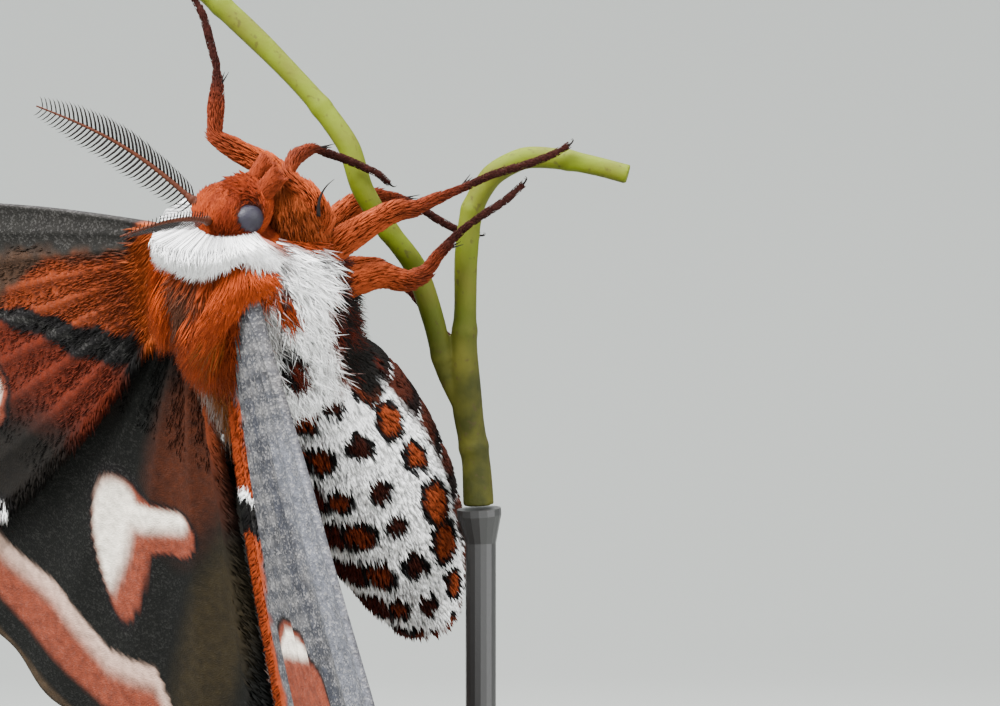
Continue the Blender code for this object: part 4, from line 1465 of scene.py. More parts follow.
@dataclass
class Coat:
    """The coat: long locks of the thorax, and short tufts of the rest."""

    thorax: Thorax
    abdomen: Abdomen
    head: Head
    legs: list[Leg]
    collar_count: int = 7000
    tegula_count: int = 5600
    abdomen_count: int = 20200
    head_count: int = 11600
    palp_count: int = 1800
    throat_count: int = 4200
    leg_count: int = 2900
    wing_counts: tuple[int, int] = (4000, 7600)
    fringe_counts: tuple[int, int] = (1100, 2600)
    root_depth: float = 0.05

    def __post_init__(self) -> None:
        """Makes what all pieces share: the draws, the finishes, the tree and one tuft."""
        self.rng = np.random.default_rng(17)
        self.finish, self.fine_finish = HAIR.material(), FINE_HAIR.material()
        self.tree = TuftTree()
        stations = ((0.0, -0.08, 0.34, 0.13), (0.45, 0.14, 0.45, 0.13), (1.0, 0.2, 0.0, 0.0))
        self.tuft = small_solid("tuft", stations, 3)

    def _some(self, count: int) -> Callable[[float, float], np.ndarray]:
        """A drawer of even random values between two ends, one for each of a count."""
        return lambda low, high: self.rng.uniform(low, high, count)

    def _strewn(self, ways: np.ndarray, spread: float) -> np.ndarray:
        """Ways turned a little at random."""
        return ways + self.rng.normal(0, spread, ways.shape)

    def _tufts(
        self,
        name: str,
        slot: str,
        places: np.ndarray,
        out: np.ndarray,
        lies: np.ndarray,
        widths: np.ndarray,
        lengths: np.ndarray,
        colour: np.ndarray,
        spots: np.ndarray,
        fine: bool = True,
    ) -> None:
        """Sets tufts on a stretch of roots and fixes the piece to the body.

        Args:
            name: the piece's name.
            slot: handed on to settle, which does not use it.
            places: the roots.
            out: the ways out of the body there.
            lies: the ways the tufts lie.
            widths: their widths.
            lengths: their lengths.
            colour: their colours.
            spots: their places on the map OFBake.
            fine: whether they take the finish with less painted shade at the root.
        """
        out = unit(out)
        roots = root_form(places, squared_up(out, lies), out, (widths, lengths, lengths), colour, spots)
        settle(self.tree.grow(name, roots, self.tuft, self.fine_finish if fine else self.finish), slot)

    def _locks(
        self,
        name: str,
        place: np.ndarray,
        angle: np.ndarray,
        length: np.ndarray,
        width: np.ndarray,
        lift: np.ndarray,
        drift: np.ndarray,
        stations: int = 5,
        ruff: Measure = 0.0,
        colour: np.ndarray | None = None,
    ) -> None:
        """Makes one piece of long locks that lie back over the thorax, bend and overlap.

        Args:
            name: the piece's name.
            place: root's place along the body.
            angle: root's angle from the back toward the right.
            length: each lock's length.
            width: each lock's width.
            lift: the tip's height over the core.
            drift: how far each one turns round the body on its way.
            stations: places along each lock, its tip among them.
            ruff: how far each one stands out in front, as the collar does.
            colour: its colour, or none to take the thorax's own.
        """
        count = len(place)
        share = np.linspace(0.0, 1.0, stations)[None, :]
        height = -0.5 + 0.8 * np.minimum(share / 0.2, 1.0) + (lift[:, None] - 0.3) * share**1.1
        along_body = place[:, None] - length[:, None] * share
        stand = np.interp(along_body, (6.2, 7.8, 9.0, 10.0), (0.0, 0.45, 0.9, 1.15))
        stand = stand * np.minimum(share / 0.25, 1.0)
        height = height + stand * np.broadcast_to(ruff, (count,))[:, None]
        wobble = 0.05 * np.sin(share * 4.0 + self.rng.uniform(0, 6.28, (count, 1))) * share
        turn = angle[:, None] + drift[:, None] * share + wobble
        path = self.thorax.surface(along_body, turn, height)
        along = unit(np.gradient(path, axis=1))
        out = self.thorax.surface(along_body, turn, height + 1.0) - path
        wide = squared_up(along, np.cross(along, unit(out)))
        high = np.cross(wide, along)
        half = (0.5 * width[:, None] * (0.55 + 1.6 * share) * (1.0 - share) ** 0.6)[..., None]
        corners = np.stack((path - wide * half, path + wide * half, path + high * half * 0.4), 2)
        rings = stations - 1
        points = np.concatenate((corners[:, :rings].reshape(count, -1, 3), path[:, -1:]), 1)
        size = rings * 3 + 1
        base = (np.arange(count) * size)[:, None, None]
        quads, tris = [], [(2, 1, 0)]
        for j, k in ((0, 1), (1, 2), (2, 0)):
            quads.extend((i * 3 + j, i * 3 + k, i * 3 + k + 3, i * 3 + j + 3) for i in range(rings - 1))
            tris.append((rings * 3 - 3 + j, rings * 3 - 3 + k, rings * 3))
        if colour is None:
            colour = self.thorax.shade(place - 0.5 * length, angle + 0.5 * drift)
        colour = colour * self.rng.uniform(0.84, 1.1, (count, 1))
        spot = np.column_stack(((angle / FULL) % 1.0, (place + 8.0) / 18.0))
        reach = np.append(np.repeat(share[0, :rings], 3), 1.0)
        # pale locks are spared most of the painted root shade
        pale = np.clip(colour.min(axis=1) * 1.2, 0.0, 0.5)
        local = np.column_stack((np.append(np.tile((0.0, 1.0, 0.5), rings), 0.5), reach))
        form = Form()
        form.add(
            points.reshape(-1, 3),
            (base + np.array(quads)[None]).reshape(-1, 4),
            shade=np.repeat(colour, size, axis=0),
            along=np.maximum(np.tile(reach, count), np.repeat(pale, size)),
            OFBake=(spot[:, None] * 0.98 + local[None] * TuftTree.patch).reshape(-1, 2),
        )
        form.faces.append((base + np.array(tris)[None]).reshape(-1, 3))
        settle(new_object(name, form.mesh(name), self.finish), "coat")

    def thorax_pieces(self) -> None:
        """The coat of the thorax: broad locks below, fine hair above."""
        hair = (8300, 4, -5.8, 7.4, (3.0, 6.4), (0.08, 0.2), (1.0, 2.7), 0.14, 1.15, 5.5, np.multiply)
        locks = (3000, 5, -5.6, 7.6, (3.0, 5.4), (0.3, 0.65), (0.9, 1.9), 0.1, 1.0, 5.2, np.minimum)
        for name, row in (("locks", locks), ("hair_1", hair), ("hair_2", hair)):
            count, stations, rear, front, long, wide, lift, spread, top, limit, joined = row
            some = self._some(count)
            place, angle = some(rear, front), some(-np.pi, np.pi)
            above = np.where(np.abs(angle) <= 1.1, top, 0.6)
            short = joined(above, np.where(place > limit, 0.6, 1.0))
            room = np.where(np.abs(angle) > 0.9, place + some(7.0, 8.2), 9.0)
            length = np.minimum(some(*long) * short, room)
            drift = (some(*wide), some(*lift), self.rng.normal(0.0, spread, count))
            self._locks(f"coat_thorax_{name}", place, angle, length, *drift, stations=stations)

    def collar_piece(self) -> None:
        """The white collar, which stands out on the left as a ruff."""
        some = self._some(self.collar_count)
        angle = some(-1.9, 1.75)
        rim = self.thorax.rim(angle)
        place = rim + 0.5 + (9.3 - rim + 0.5 * np.cos(angle)) * some(0.0, 1.0) ** 0.8
        length = np.minimum(place - rim, 2.6) * some(0.6, 1.0) + some(0.0, 0.4)
        sizes = (some(0.08, 0.22), some(2.0, 3.0), self.rng.normal(0.0, 0.12, self.collar_count))
        ruff = np.interp(np.degrees(angle), (-110, -70, -20, 20, 60, 100), (0.8, 2.8, 3.4, 1.5, 0.7, 0.3))
        self._locks("coat_collar", place, angle, length, *sizes, stations=4, ruff=ruff)

    def tegula_pieces(self) -> None:
        """The two orange tufts that cover the roots of the forewings."""
        for word, side in SIDES:
            some = self._some(self.tegula_count)
            share, depth = some(0.0, 1.0), some(0.0, 1.0)
            streak = some(0.56, 1.28) ** step(0.75, 0.45, share)
            # painted light: the left tegula (side -1), which lies in shade, is painted brighter than the right
            # one; both are darker toward the crown
            tone = ORANGE * (streak * (1.7 - 0.34 * side) - 0.2 * step(0.25, 0.0, share))[:, None]
            gold = within(share, 0.36, 0.42, 0.5, 0.56) * step(0.4, 0.8, depth)
            tone = blend(tone, GOLD, gold * some(0.0, 1.0))
            rusty = waves(np.stack((share * 9, depth * 3), -1), 1.0, 8)
            front = np.interp(share, (0.0, 0.25, 0.58, 0.78, 1.0), (6.7, 7.7, 8.8, 9.0, 8.3))
            place = front - depth * np.interp(share, (0.0, 0.5, 0.75, 1.0), (3.4, 3.4, 1.8, 1.0))
            end = np.interp(share, (0.0, 0.3, 0.45, 0.58, 0.78, 1.0), (-0.6, -2.8, -1.4, 3.4, 5.8, 6.0))
            self._locks(
                f"coat_tegula_{word}",
                place,
                side * np.radians(20 + 62 * share),
                np.maximum((place - end) * some(0.55, 1.0), 0.8),
                some(0.07, 0.19),
                some(1.9, 4.0) * np.interp(share, (0, 0.3, 1.0), (0.8, 1.0, 0.95)),
                side * np.radians(np.interp(share, (0, 0.5, 1.0), (-6.0, -20.0, 4.0)) + some(-6, 6)),
                colour=blend(tone, RUST, step(0.2, 0.9, rusty) * 0.3),
            )

    def abdomen_piece(self) -> None:
        """The short fur of the abdomen."""
        some = self._some(self.abdomen_count)
        share, angle = some(0.0, 0.995), some(-np.pi, np.pi)
        keep = some(0, 1) < self.abdomen.radius(share) / 6.6
        share, angle = share[keep], angle[keep]
        some = self._some(len(share))
        along, right, back = self.abdomen.axes(share)
        out = right * np.sin(angle)[:, None] + back * np.cos(angle)[:, None]
        places = self.abdomen.line(share) + out * (self.abdomen.radius(share) - self.root_depth)[:, None]
        lies = self._strewn(along + out * some(-0.05, 0.25)[:, None], 0.12)
        colour = self.abdomen.shade(share, angle) * some(0.85, 1.1)[:, None]
        sizes = (some(0.14, 0.34), some(0.65, 1.25), colour, round_spots(angle, share))
        self._tufts("coat_abdomen", "fur", places, out - along * 0.2, lies, *sizes, fine=False)

    def head_piece(self) -> None:
        """The fur of the head, left bare for the eyes, with painted shade darkening the fur round the eye
        sockets.
        """
        way = unit(self.rng.normal(size=(self.head_count, 3)))
        core = way * self.head.radii
        gaps = [np.linalg.norm(core - np.array(self.head.eye) * (side, 1, 1), axis=1) for _, side in SIDES]
        eye = np.minimum(*gaps)
        keep = (eye > 1.2) & (way[:, 2] > -0.9)
        way, eye = way[keep], eye[keep]
        some = self._some(len(way))
        places = self.head.surface(way, -self.root_depth)
        out = unit(self.head.surface(way, 1.0) - places)
        front = np.clip(way[:, 2], 0, 1)[:, None]
        lies = self._strewn(SKULL.forward - SKULL.dorsal * (0.7 - 0.5 * front), 0.22)
        lashes = step(1.7, 1.2, eye)[:, None]
        lies = unit(lies) * (1.0 - 0.6 * lashes) + out * lashes * 1.2
        face = step(0.2, -0.8, way[:, 1]) * step(-0.2, 0.6, way[:, 2])
        long = (1.0 + 0.8 * face) * np.interp(eye, (1.2, 1.9), (0.6, 1.0)) * (1.0 - 0.4 * front[:, 0])
        # painted shade: the fur next to each eye is darkened as the shadow in its socket
        tone = blend(self.head.shade(way), DARK_BROWN, step(1.42, 1.25, eye) * 0.75)
        self._tufts(
            "coat_head",
            "coat",
            places,
            out + SKULL.forward * 0.4 * front,
            lies,
            some(0.07, 0.17),
            some(0.7, 1.5) * long,
            tone * some(0.8, 1.15)[:, None],
            np.column_stack((np.arctan2(way[:, 0], way[:, 1]) / 6.29 + 0.5, way[:, 2] * 0.48 + 0.5)),
            fine=False,
        )

    def palp_piece(self) -> None:
        """The brush of hair on the two palps."""
        parts = []
        some = self._some(self.palp_count)
        for _, side in SIDES:
            root, aim = self.head.palp_line(side)
            share, angle = some(0.0, 1.0), some(-np.pi, np.pi)
            wide = squared_up(aim, SKULL.right)
            out = wide * np.cos(angle)[:, None] + np.cross(aim, wide) * np.sin(angle)[:, None]
            places = root + aim * self.head.palp_length * share[:, None] + out * 0.55
            parts.append((places, out, self._strewn(np.broadcast_to(aim, out.shape), 0.2), share, angle))
        places, out, lies, share, angle = map(np.concatenate, zip(*parts))
        some = self._some(len(places))
        sizes = (some(0.1, 0.2), some(0.6, 1.2), srgb(164, 64, 24) * some(0.7, 1.1)[:, None])
        self._tufts("coat_palps", "coat", places, out, lies, *sizes, round_spots(angle, share))

    @staticmethod
    def _round(rows: np.ndarray, share: np.ndarray, angle: np.ndarray) -> tuple:
        """Places along a run, its ways ahead and outward there, and its half thickness.

        Args:
            rows: places and half thickness along the run.
            share: shares of its length.
            angle: angles round it.

        Returns:
            The four of them, one row a share.
        """
        spread = np.linspace(0, 1, len(rows))
        rows = np.column_stack((rows, unit(np.gradient(rows[:, :3], axis=0))))
        rows = np.stack([np.interp(share, spread, column) for column in rows.T], -1)
        along = unit(rows[:, 4:])
        wide = squared_up(along, np.broadcast_to(TRUNK.dorsal, along.shape))
        out = wide * np.cos(angle)[:, None] + np.cross(along, wide) * np.sin(angle)[:, None]
        return rows[:, :3], along, out, rows[:, 3]

    def throat_piece(self) -> None:
        """The fur between the face and the roots of the forelegs, combed down."""
        some = self._some(self.throat_count)
        share, angle = some(0.12, 1.0), some(-np.pi, np.pi)
        line, along, out, radius = self._round(smooth_path(THROAT, 60), share, angle)
        lies = self._strewn(out * 0.1 - along, 0.2)
        tone = blend(srgb(186, 86, 38), DARK_RUST, step(0.3, 0.9, waves(line, 0.6, 41)) * 0.35)
        places = line + out * (radius - self.root_depth)[:, None]
        sizes = (some(0.08, 0.18), some(1.0, 2.1), tone * some(0.75, 1.15)[:, None])
        self._tufts("coat_throat", "coat", places, out - lies * 0.25, lies, *sizes, round_spots(angle, share))

    def leg_piece(self) -> None:
        """The fur of the legs, long on the upper parts and thin toward the claws."""
        parts = []
        some = self._some(self.leg_count)
        for leg in self.legs:
            share, angle = some(0, 1) ** 1.15, some(-np.pi, np.pi)
            line, along, out, radius = self._round(leg.run(120), share, angle)
            places = line + out * (leg.slim(radius) - 0.03)[:, None]
            lies = self._strewn(along + out * 0.06, 0.1)
            long = np.interp(share, (0.0, 0.25, 0.42, 0.55, 0.7, 1.0), (1.45, 1.1, 1.0, 0.46, 0.32, 0.2))
            long, tone = long * some(0.6, 1.2), leg.shade(share) * some(0.78, 1.15)[:, None]
            wide = np.clip(long * 0.13, 0.05, 0.15)
            parts.append((places, out, lies, wide, long, tone, round_spots(angle, share)))
        self._tufts("coat_legs", "leg", *map(np.concatenate, zip(*parts)))

    def wing_piece(self, wing: Wing) -> None:
        """The long hair near the root of one wing, lying toward its margin.

        Args:
            wing: the wing.
        """
        some = self._some(self.wing_counts[wing.fore])
        index = some(0.06, wing.veins - 0.06)
        share = some(0, 1) ** 1.6 * (0.5 if wing.fore else 0.4) + 0.012
        flat = wing.flat(index, share)
        if wing.fore:
            bare = wing.banded(flat, share) * (1.0 if wing.right else step(0.05, 0.1, share))
            keep = bare < some(0.1, 0.9)
            index, share, flat = index[keep], share[keep], flat[keep]
            some = self._some(len(share))
        _, _, chord, up = wing.axes()
        places = wing.place(flat, share, 0.12)
        ahead = wing.place(wing.flat(index, share + 0.02), share + 0.02, 0.12)
        lies = self._strewn(unit(ahead - places), 0.14)
        if wing.fore:
            lies = lies + chord * step(5.0, 1.0, flat[:, :1]) * 1.4
        fade = np.interp(share, (0.0, 0.1, 0.2, 0.5), (2.8, 1.6, 0.9, 0.5))
        rise = np.interp(share, (0.0, 0.1, 0.3), (0.4, 0.12, 0.02))[:, None]
        out = self._strewn(np.broadcast_to(up, places.shape), 0.08) - unit(lies) * rise
        sizes = (some(0.08, 0.18), fade * some(0.7, 1.2))
        tone = wing.tint(flat, index / wing.veins, share) * some(0.88, 1.15)[:, None]
        name, spots = f"coat_{wing.name}", wing.spots(flat)
        self._tufts(name, "wing", places, out, lies + up * rise, *sizes, tone, spots)

    def fringe_piece(self, wing: Wing) -> None:
        """The fringe of hair on the rear edge of one forewing or the inner edge of one hindwing.

        Args:
            wing: the wing.
        """
        some = self._some(self.fringe_counts[wing.right == wing.fore])
        index = wing.veins - 0.28 * some(0, 1) ** 1.5
        share = some(0.04, 0.72) if wing.fore else some(0.12, 0.9)
        flat = wing.flat(index, share)
        _, span, chord, up = wing.axes()
        beside = unit(flat - wing.flat(index - 0.4, share))
        ahead = unit(wing.flat(index, share + 0.02) - flat)
        way = beside * 0.85 + ahead * (0.75 if wing.fore else 0.6)
        lies = self._strewn(way[:, :1] * span + way[:, 1:] * chord + up * 0.1, 0.14)
        long = np.interp(share, (0.04, 0.15, 0.72), (1.3, 1.0, 0.75)) if wing.fore else 1.35
        tone = wing.tint(flat, index / wing.veins, share)
        if not wing.fore:
            tone = blend(tone, srgb(140, 60, 24), step(0.42, 0.3, share))
        sizes = (some(0.05, 0.11), some(1.0, 2.1) * long, tone * some(0.85, 1.15)[:, None], wing.spots(flat))
        name = f"coat_fringe_{wing.name}"
        self._tufts(name, "wing", wing.place(flat, share, 0.1), up - lies * 0.1, lies, *sizes)


@dataclass
class Skin:
    """One skin over thorax, abdomen, head and legs, with no seams."""

    thorax: Thorax
    abdomen: Abdomen
    head: Head
    legs: list[Leg]
    voxel: float = 0.24
    rounds: int = 3

    def build(self) -> None:
        """Fuses the cores, smooths them, colours them as the coat and fixes them to the body."""
        form = Form()
        throat = smooth_path(THROAT, 40)
        cores = [part.core() for part in (self.thorax, self.abdomen, self.head)]
        cores += [self.head.palp(side) for _, side in SIDES]
        cores.append(tube(throat[:, :3], throat[:, 3] - 0.1, TRUNK.right, 24))
        for points, faces in cores + [leg.core() for leg in self.legs]:
            form.add(points, faces)
        made, points = fused(form, "skin", SCALED_SKIN.material(), self.voxel, self.rounds)
        store_shade(made.data, self._colour(points))
        nodes = ("thorax", "head", "abdomen", "palp_left", "palp_right")
        settle(made, "coat", *nodes, *[leg.name.value for leg in self.legs])

    def _colour(self, points: np.ndarray) -> np.ndarray:
        """The coat's markings at the skin's points.

        Args:
            points: the skin's points.

        Returns:
            One colour a point.
        """
        place, back, side = points @ TRUNK.forward, points @ TRUNK.dorsal, points @ TRUNK.right
        colour = self.thorax.shade(place, np.arctan2(side, back))
        shares = np.linspace(0, 1, 60)
        away = np.linalg.norm(points[:, None] - self.abdomen.line(shares)[None], axis=-1)
        share = shares[np.argmin(away, axis=1)]
        _, right, dorsal = self.abdomen.axes(share)
        offset = points - self.abdomen.line(share)
        angle = np.arctan2(np.sum(offset * right, -1), np.sum(offset * dorsal, -1))
        rear = place < -6.6
        colour[rear] = self.abdomen.shade(share, angle)[rear]
        way = points - SKULL.at
        front = np.linalg.norm(way, axis=1) < 3.9
        colour[front] = self.head.shade(unit(way))[front]
        run = smooth_path(THROAT, 40)[6:]
        near = np.linalg.norm(points[:, None] - run[None, :, :3], axis=-1)
        colour[np.min(near - run[None, :, 3], axis=1) < 0.1] = srgb(130, 52, 20)
        for leg in self.legs:
            rows = leg.run(60)
            near = np.linalg.norm(points[:, None] - rows[None, :, :3], axis=-1)
            best = np.argmin(near, axis=1)
            close = (near[np.arange(len(points)), best] < rows[best, 3] * 1.1) & (best > 3)
            colour[close] = leg.shade(best / 59.0)[close]
        return colour


@dataclass
class Feeler:
    """One antenna: a ringed shaft and two rows of fine rami that lean to its tip."""

    word: str
    side: float
    tree: TuftTree
    finish: Material
    length: float = 15.6
    radius: float = 0.25
    rami: int = 38
    reach: float = 2.0
    leans: tuple[float, float] = (0.12, 0.5)
    ramus_half: float = 0.05
    bow: float = 0.9
    taper: float = 0.72
    ringing: float = 0.1
    aim: tuple = (-10.8, -8.3, 3.65)
    parting: float = 10.5

    def line(self, share: np.ndarray) -> tuple:
        """Points of the shaft, its aim and the way across it.

        Args:
            share: shares of its length.

        Returns:
            The three of them.
        """
        aim = unit(np.array(self.aim) + self.parting * self.side * SKULL.right)
        lean = 0.167 * self.side * SKULL.right - 0.782 * SKULL.dorsal + 0.605 * SKULL.forward
        across = squared_up(aim, lean)
        share = np.asarray(share, float)[:, None]
        root = SKULL.place(0.9, 2.35, self.side * 1.2)
        return root + aim * self.length * share + across * self.bow * np.sin(np.pi * share), aim, across

    def build(self) -> None:
        """Makes the shaft and the rami and fixes them to the body."""
        rng = np.random.default_rng(5)
        share = np.linspace(0.0, 1.0, 120)
        path, aim, across = self.line(share)
        path[0] -= aim * 0.3
        ringed = 1.0 + self.ringing * np.cos(share * self.rami * FULL)
        radius = self.radius * (1.0 - self.taper * share) * ringed
        radius = radius * np.interp(share, (0, 0.02, 0.06, 0.09), (1.6, 1.7, 1.5, 1.0))
        form = Form()
        form.add_tube(path, radius, across, 10, colour=srgb(104, 48, 20))
        shaft = new_object(f"feeler_shaft_{self.word}", form.mesh("shaft"), self.finish)
        settle(shaft, "antenna", f"antenna_{self.word}")
        rows = ((0.0, 0.0, 1.0, 1.0), (0.35, 0.05, 1.05, 1.0), (0.75, 0.16, 0.8, 0.75), (1.0, 0.32, 0.0, 0.0))
        rows = np.array(rows) * (1.0, 1.0, self.ramus_half, self.ramus_half)
        ramus = small_solid(f"ramus_{self.word}", rows, 4)
        places = (np.arange(self.rami) + 1.6) / (self.rami + 2.0)
        root, _, _ = self.line(places)
        parts = []
        for way, lean, height in zip((-1.0, 1.0), self.leans, (0.2, 0.8)):
            out = np.broadcast_to(across * way * math.cos(lean) + aim * math.sin(lean), root.shape)
            rise = squared_up(out, np.broadcast_to(aim, root.shape))
            size = self.reach * (0.3 + 0.7 * np.sin(np.pi * np.minimum(places * 0.86 + 0.14, 1.0)) ** 0.7)
            size = size * rng.uniform(0.94, 1.05, len(size))
            spot = np.column_stack((places * 0.9, np.full(self.rami, height)))
            parts.append((root + out * 0.1, out, rise, size, spot))
        root, out, rise, size, spot = map(np.concatenate, zip(*parts))
        colour = np.broadcast_to(srgb(30, 21, 16), root.shape)
        roots = root_form(root, out, rise, (size, size, size), colour, spot)
        settle(self.tree.grow(f"feeler_rami_{self.word}", roots, ramus, self.finish), "antenna")
        bpy.data.objects.remove(ramus, do_unlink=True)


@dataclass
class Eyes:
    """The two round faceted eyes."""

    radius: float = 1.3
    flatness: float = 0.8
    place: tuple[float, float, float] = (0.25, -0.52, 2.2)

    def build(self) -> None:
        """Makes both eyes and fixes them to the body."""
        finish = EyeFinish().material()
        turn = np.linspace(0.03, np.pi - 0.03, 40)
        for word, side in SIDES:
            centre = SKULL.place(*self.place[:2], side * self.place[2])
            path = centre - SKULL.right * (self.radius * self.flatness * np.cos(turn))[:, None]
            points, faces = tube(path, self.radius * np.sin(turn), SKULL.forward, 56)
            # painted shade: the eye darkens toward the crown side, where its socket's shadow falls
            edge = (points - centre) @ (SKULL.dorsal - 0.3 * SKULL.forward) / self.radius
            form = Form()
            form.add(points, faces, shade=np.repeat(1.0 - 0.8 * step(0.35, 0.95, edge)[:, None], 3, axis=1))
            settle(new_object(f"faceted_eye_{word}", form.mesh("eye"), finish), "eye", f"eye_{word}")


@dataclass
class Claws:
    """Paired hooked claws at the end of each leg, and the spurs of the shins."""

    legs: list[Leg]
    finish: Material
    hook: float = 0.6
    hook_root: float = 0.09
    hook_spread: float = 0.3
    spur: float = 1.3
    spur_root: float = 0.1
    shin: tuple[float, float] = (0.58, 0.62)
    long_spur: tuple = ((5.0, -6.0, 7.2), (4.8, -6.6, 9.2), (6.3, -6.4, 10.2))
    long_spur_root: float = 0.17

    def build(self) -> None:
        """Makes all of them, and the long spur inside the near foreleg, as one piece."""
        form = Form()
        share = np.linspace(0, 1, 8)[:, None]
        for leg in self.legs:
            rows = leg.run()
            tip, along = rows[-1, :3], unit(rows[-1, :3] - rows[-4, :3])
            side = squared_up(along, np.array((0.0, 1.0, 0.0)))
            down = np.cross(along, side)
            for way in (-1.0, 1.0):
                path = tip - along * 0.1 + side * way * (0.12 + self.hook_spread * np.sin(share * 1.6))
                path = path + along * self.hook * np.sin(share * 2.0) + down * 0.35 * share**2
                radius = self.hook_root * (1.02 - share[:, 0]) + 0.01
                form.add_tube(path, radius, down, 8, colour=CLAW_BROWN)
            knee, below = (rows[int(len(rows) * part), :3] for part in self.shin)
            ahead = unit(below - knee)
            out = squared_up(ahead, -TRUNK.dorsal)
            for way in (0.5, 0.9):
                path = knee + out * (0.2 + 0.9 * share * way) + ahead * self.spur * share
                radius = self.spur_root * (1.02 - share[:, 0]) + 0.015
                form.add_tube(path, radius, np.cross(out, ahead), 8, colour=CLAW_BROWN)
        share = np.linspace(0, 1, 14)
        path = bent(*np.array(self.long_spur), share)
        radius = self.long_spur_root * (1.02 - share) + 0.012
        form.add_tube(path, radius, (0.0, 1.0, 0.0), 10, colour=CLAW_BROWN)
        settle(new_object("claws", form.mesh("claws"), self.finish), "leg")


@dataclass
class Perch:
    """The cut forked stem that the moth grips."""

    voxel: float = 0.16
    rounds: int = 2
    waver: float = 0.05
    knot: float = 0.1
    knots: int = 4
    upright: tuple = (
        *((18.0, 8.6, -17.0, 1.25), (17.8, 8.3, -13.5, 1.25), (17.1, 7.4, -9.0, 1.3), (16.8, 6.0, -4.5, 1.15)),
        *((16.9, 5.0, 0.0, 1.0), (17.0, 4.5, 4.5, 0.95), (17.6, 4.2, 8.4, 0.95), (19.2, 3.9, 11.0, 1.0)),
        *((21.9, 3.5, 12.4, 0.9), (25.0, 3.2, 12.3, 0.85), (28.4, 3.0, 11.6, 0.85), (30.6, 2.8, 11.0, 0.85)),
    )
    branch: tuple = (
        *((17.1, 7.4, -9.6, 0.7), (15.2, 6.4, -5.2, 0.95), (14.2, 4.6, -1.2, 0.95), (12.6, 3.2, 3.4, 0.9)),
        *((10.0, 2.0, 6.9, 0.9), (8.3, 1.2, 9.8, 0.95), (7.2, 1.2, 13.2, 0.9), (5.0, 1.7, 16.4, 0.9)),
        *((0.7, 2.5, 21.1, 0.9), (-3.7, 2.9, 25.3, 0.9), (-8.2, 3.1, 29.2, 0.9)),
    )

    def build(self) -> None:
        """Fuses both stems and fixes them to the body."""
        form = Form()
        for rows in (self.upright, self.branch):
            run = smooth_path(rows, 160)
            share = np.linspace(0, 1, len(run))
            knots = np.exp(-(((share * self.knots) % 1.0 - 0.5) / 0.05) ** 2)
            swell = 1.0 + self.waver * np.cos(share * 23.0) + self.knot * knots
            form.add(*tube(run[:, :3], run[:, 3] * swell, (0.1, 1.0, 0.05), 28))
        made, points = fused(form, "stem", StemFinish().material(), self.voxel, self.rounds)
        # painted shade: the stem is painted darker toward its lower end, which lies in shade
        low = step(10.0, -8.0, points[:, 2])
        store_shade(made.data, blend(srgb(128, 144, 10), srgb(72, 74, 12), low))
        settle(made, "stem", "perch")


@dataclass
class Stand:
    """The round base and the rod, which keep their solids."""

    nodes: tuple[str, str] = ("stand_base", "stand_rod")
    tones: tuple[tuple, tuple] = ((50, 49, 48), (62, 61, 60))

    def dress(self) -> None:
        """Gives both solids their finish."""
        tones = tuple(srgb(*tone) for tone in self.tones)
        finish = PlainFinish("stand_grey", 0.45, 60.0, tones, 4000.0).material()
        for name in self.nodes:
            materials = frame["nodes"][name].data.materials
            materials.clear()
            materials.append(finish)
            LOG.info("%s: finished", name)


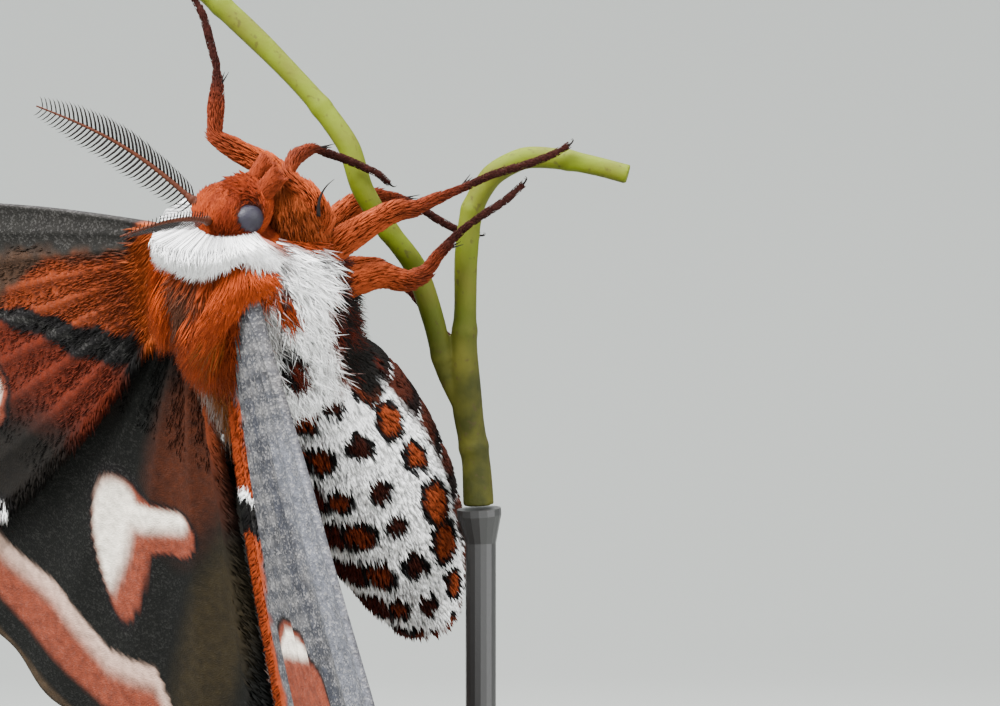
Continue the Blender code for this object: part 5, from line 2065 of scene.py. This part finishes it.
@dataclass
class Studio:
    """Floor, lights and camera, with places in metres and lights by size and power."""

    focal_px: float = 3960.0
    frame_px: float = 1000.0
    sensor: float = 36.0
    distance: float = 330.0
    middle: tuple[float, float] = (19.83, -4.0)
    lit: tuple[float, float, float] = (0.0, 0.0, 0.07)
    sky: tuple = (0.92, 0.96, 1.0, 1.0)
    sky_strength: float = 1.55
    lights: tuple = (
        ("key", (-0.35, -0.45, 0.55), 0.4, 27.0),
        ("fill", (0.55, -0.4, 0.25), 0.6, 9.5),
        ("top", (0.0, 0.1, 0.7), 0.5, 17.5),
    )

    def build(self) -> None:
        """Makes the sweep, the lights and the camera."""
        self._sweep()
        for light in self.lights:
            self._light(*light)
        world = bpy.data.worlds.new("studio")
        world.use_nodes = True
        sky = world.node_tree.nodes["Background"].inputs
        sky[0].default_value, sky[1].default_value = self.sky, self.sky_strength
        bpy.context.scene.world = world
        data = bpy.data.cameras.new("camera")
        data.sensor_width = self.sensor
        data.lens = self.focal_px / self.frame_px * self.sensor
        data.clip_start, data.clip_end = 0.01, 20.0
        camera = new_object("camera", data)
        camera.location = (THORAX_AT + (self.middle[0], -self.distance, self.middle[1])) * MM
        camera.rotation_euler = (math.pi / 2, 0.0, 0.0)
        bpy.context.scene.camera = camera

    def _light(self, name: str, place: tuple, size: float, power: float) -> None:
        """One soft square light that looks at the moth.

        Args:
            name: its name.
            place: where it stands.
            size: its edge.
            power: its watts.
        """
        data = bpy.data.lights.new(name, "AREA")
        data.size, data.energy = size, power
        made = new_object(name, data)
        made.location = place
        way = np.array(self.lit) - np.array(place)
        tilt = math.pi / 2 + math.atan2(way[2], math.hypot(way[0], way[1]))
        made.rotation_euler = (tilt, 0.0, math.atan2(way[1], way[0]) - math.pi / 2)

    @staticmethod
    def _sweep() -> None:
        """A pale floor that curves up into a wall."""
        tones = ((0.265, 0.275, 0.26), (0.29, 0.3, 0.285))
        turn = np.linspace(0, np.pi / 2, 16)
        curve = [(0.6 + 0.5 * math.sin(t), 0.5 - 0.5 * math.cos(t)) for t in turn]
        profile = [(-3.0, 0.0), *curve, (1.1, 4.0)]
        mesh = bpy.data.meshes.new("floor")
        count = len(profile)
        faces = [(i, i + count, i + count + 1, i + 1) for i in range(count - 1)]
        mesh.from_pydata([(x, y, z) for x in (-4.0, 4.0) for y, z in profile], [], faces)
        mesh.polygons.foreach_set("use_smooth", [True] * len(faces))
        floor = new_object("floor", mesh, PlainFinish("pale_floor", 0.9, 3.0, tones).material())


def main() -> None:
    """Builds every piece in order."""
    logging.basicConfig(level=logging.INFO, format="%(message)s")
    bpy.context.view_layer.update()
    body = (Thorax(), Abdomen(), Head(), [Leg(name) for name in LegName])
    Skin(*body).build()
    coat = Coat(*body)
    coat.thorax_pieces()
    coat.collar_piece()
    coat.tegula_pieces()
    coat.abdomen_piece()
    coat.head_piece()
    coat.palp_piece()
    coat.throat_piece()
    coat.leg_piece()
    scales = WingFinish().material()
    for side in WingSide:
        for fore in (True, False):
            wing = Wing(side, fore)
            settle(new_object(f"vane_{wing.name}", wing.form().mesh(wing.name), scales), "wing", wing.name)
            coat.wing_piece(wing)
            coat.fringe_piece(wing)
    bpy.data.objects.remove(coat.tuft, do_unlink=True)
    horn = HORN.material()
    Feeler("left", -1.0, coat.tree, horn).build()
    Feeler("right", 1.0, coat.tree, horn, rami=25, reach=1.8, leans=(0.55, 0.6), ramus_half=0.036).build()
    Eyes().build()
    Claws(body[3], horn).build()
    Perch().build()
    Stand().dress()
    Studio().build()


if __name__ == "__main__":
    main()
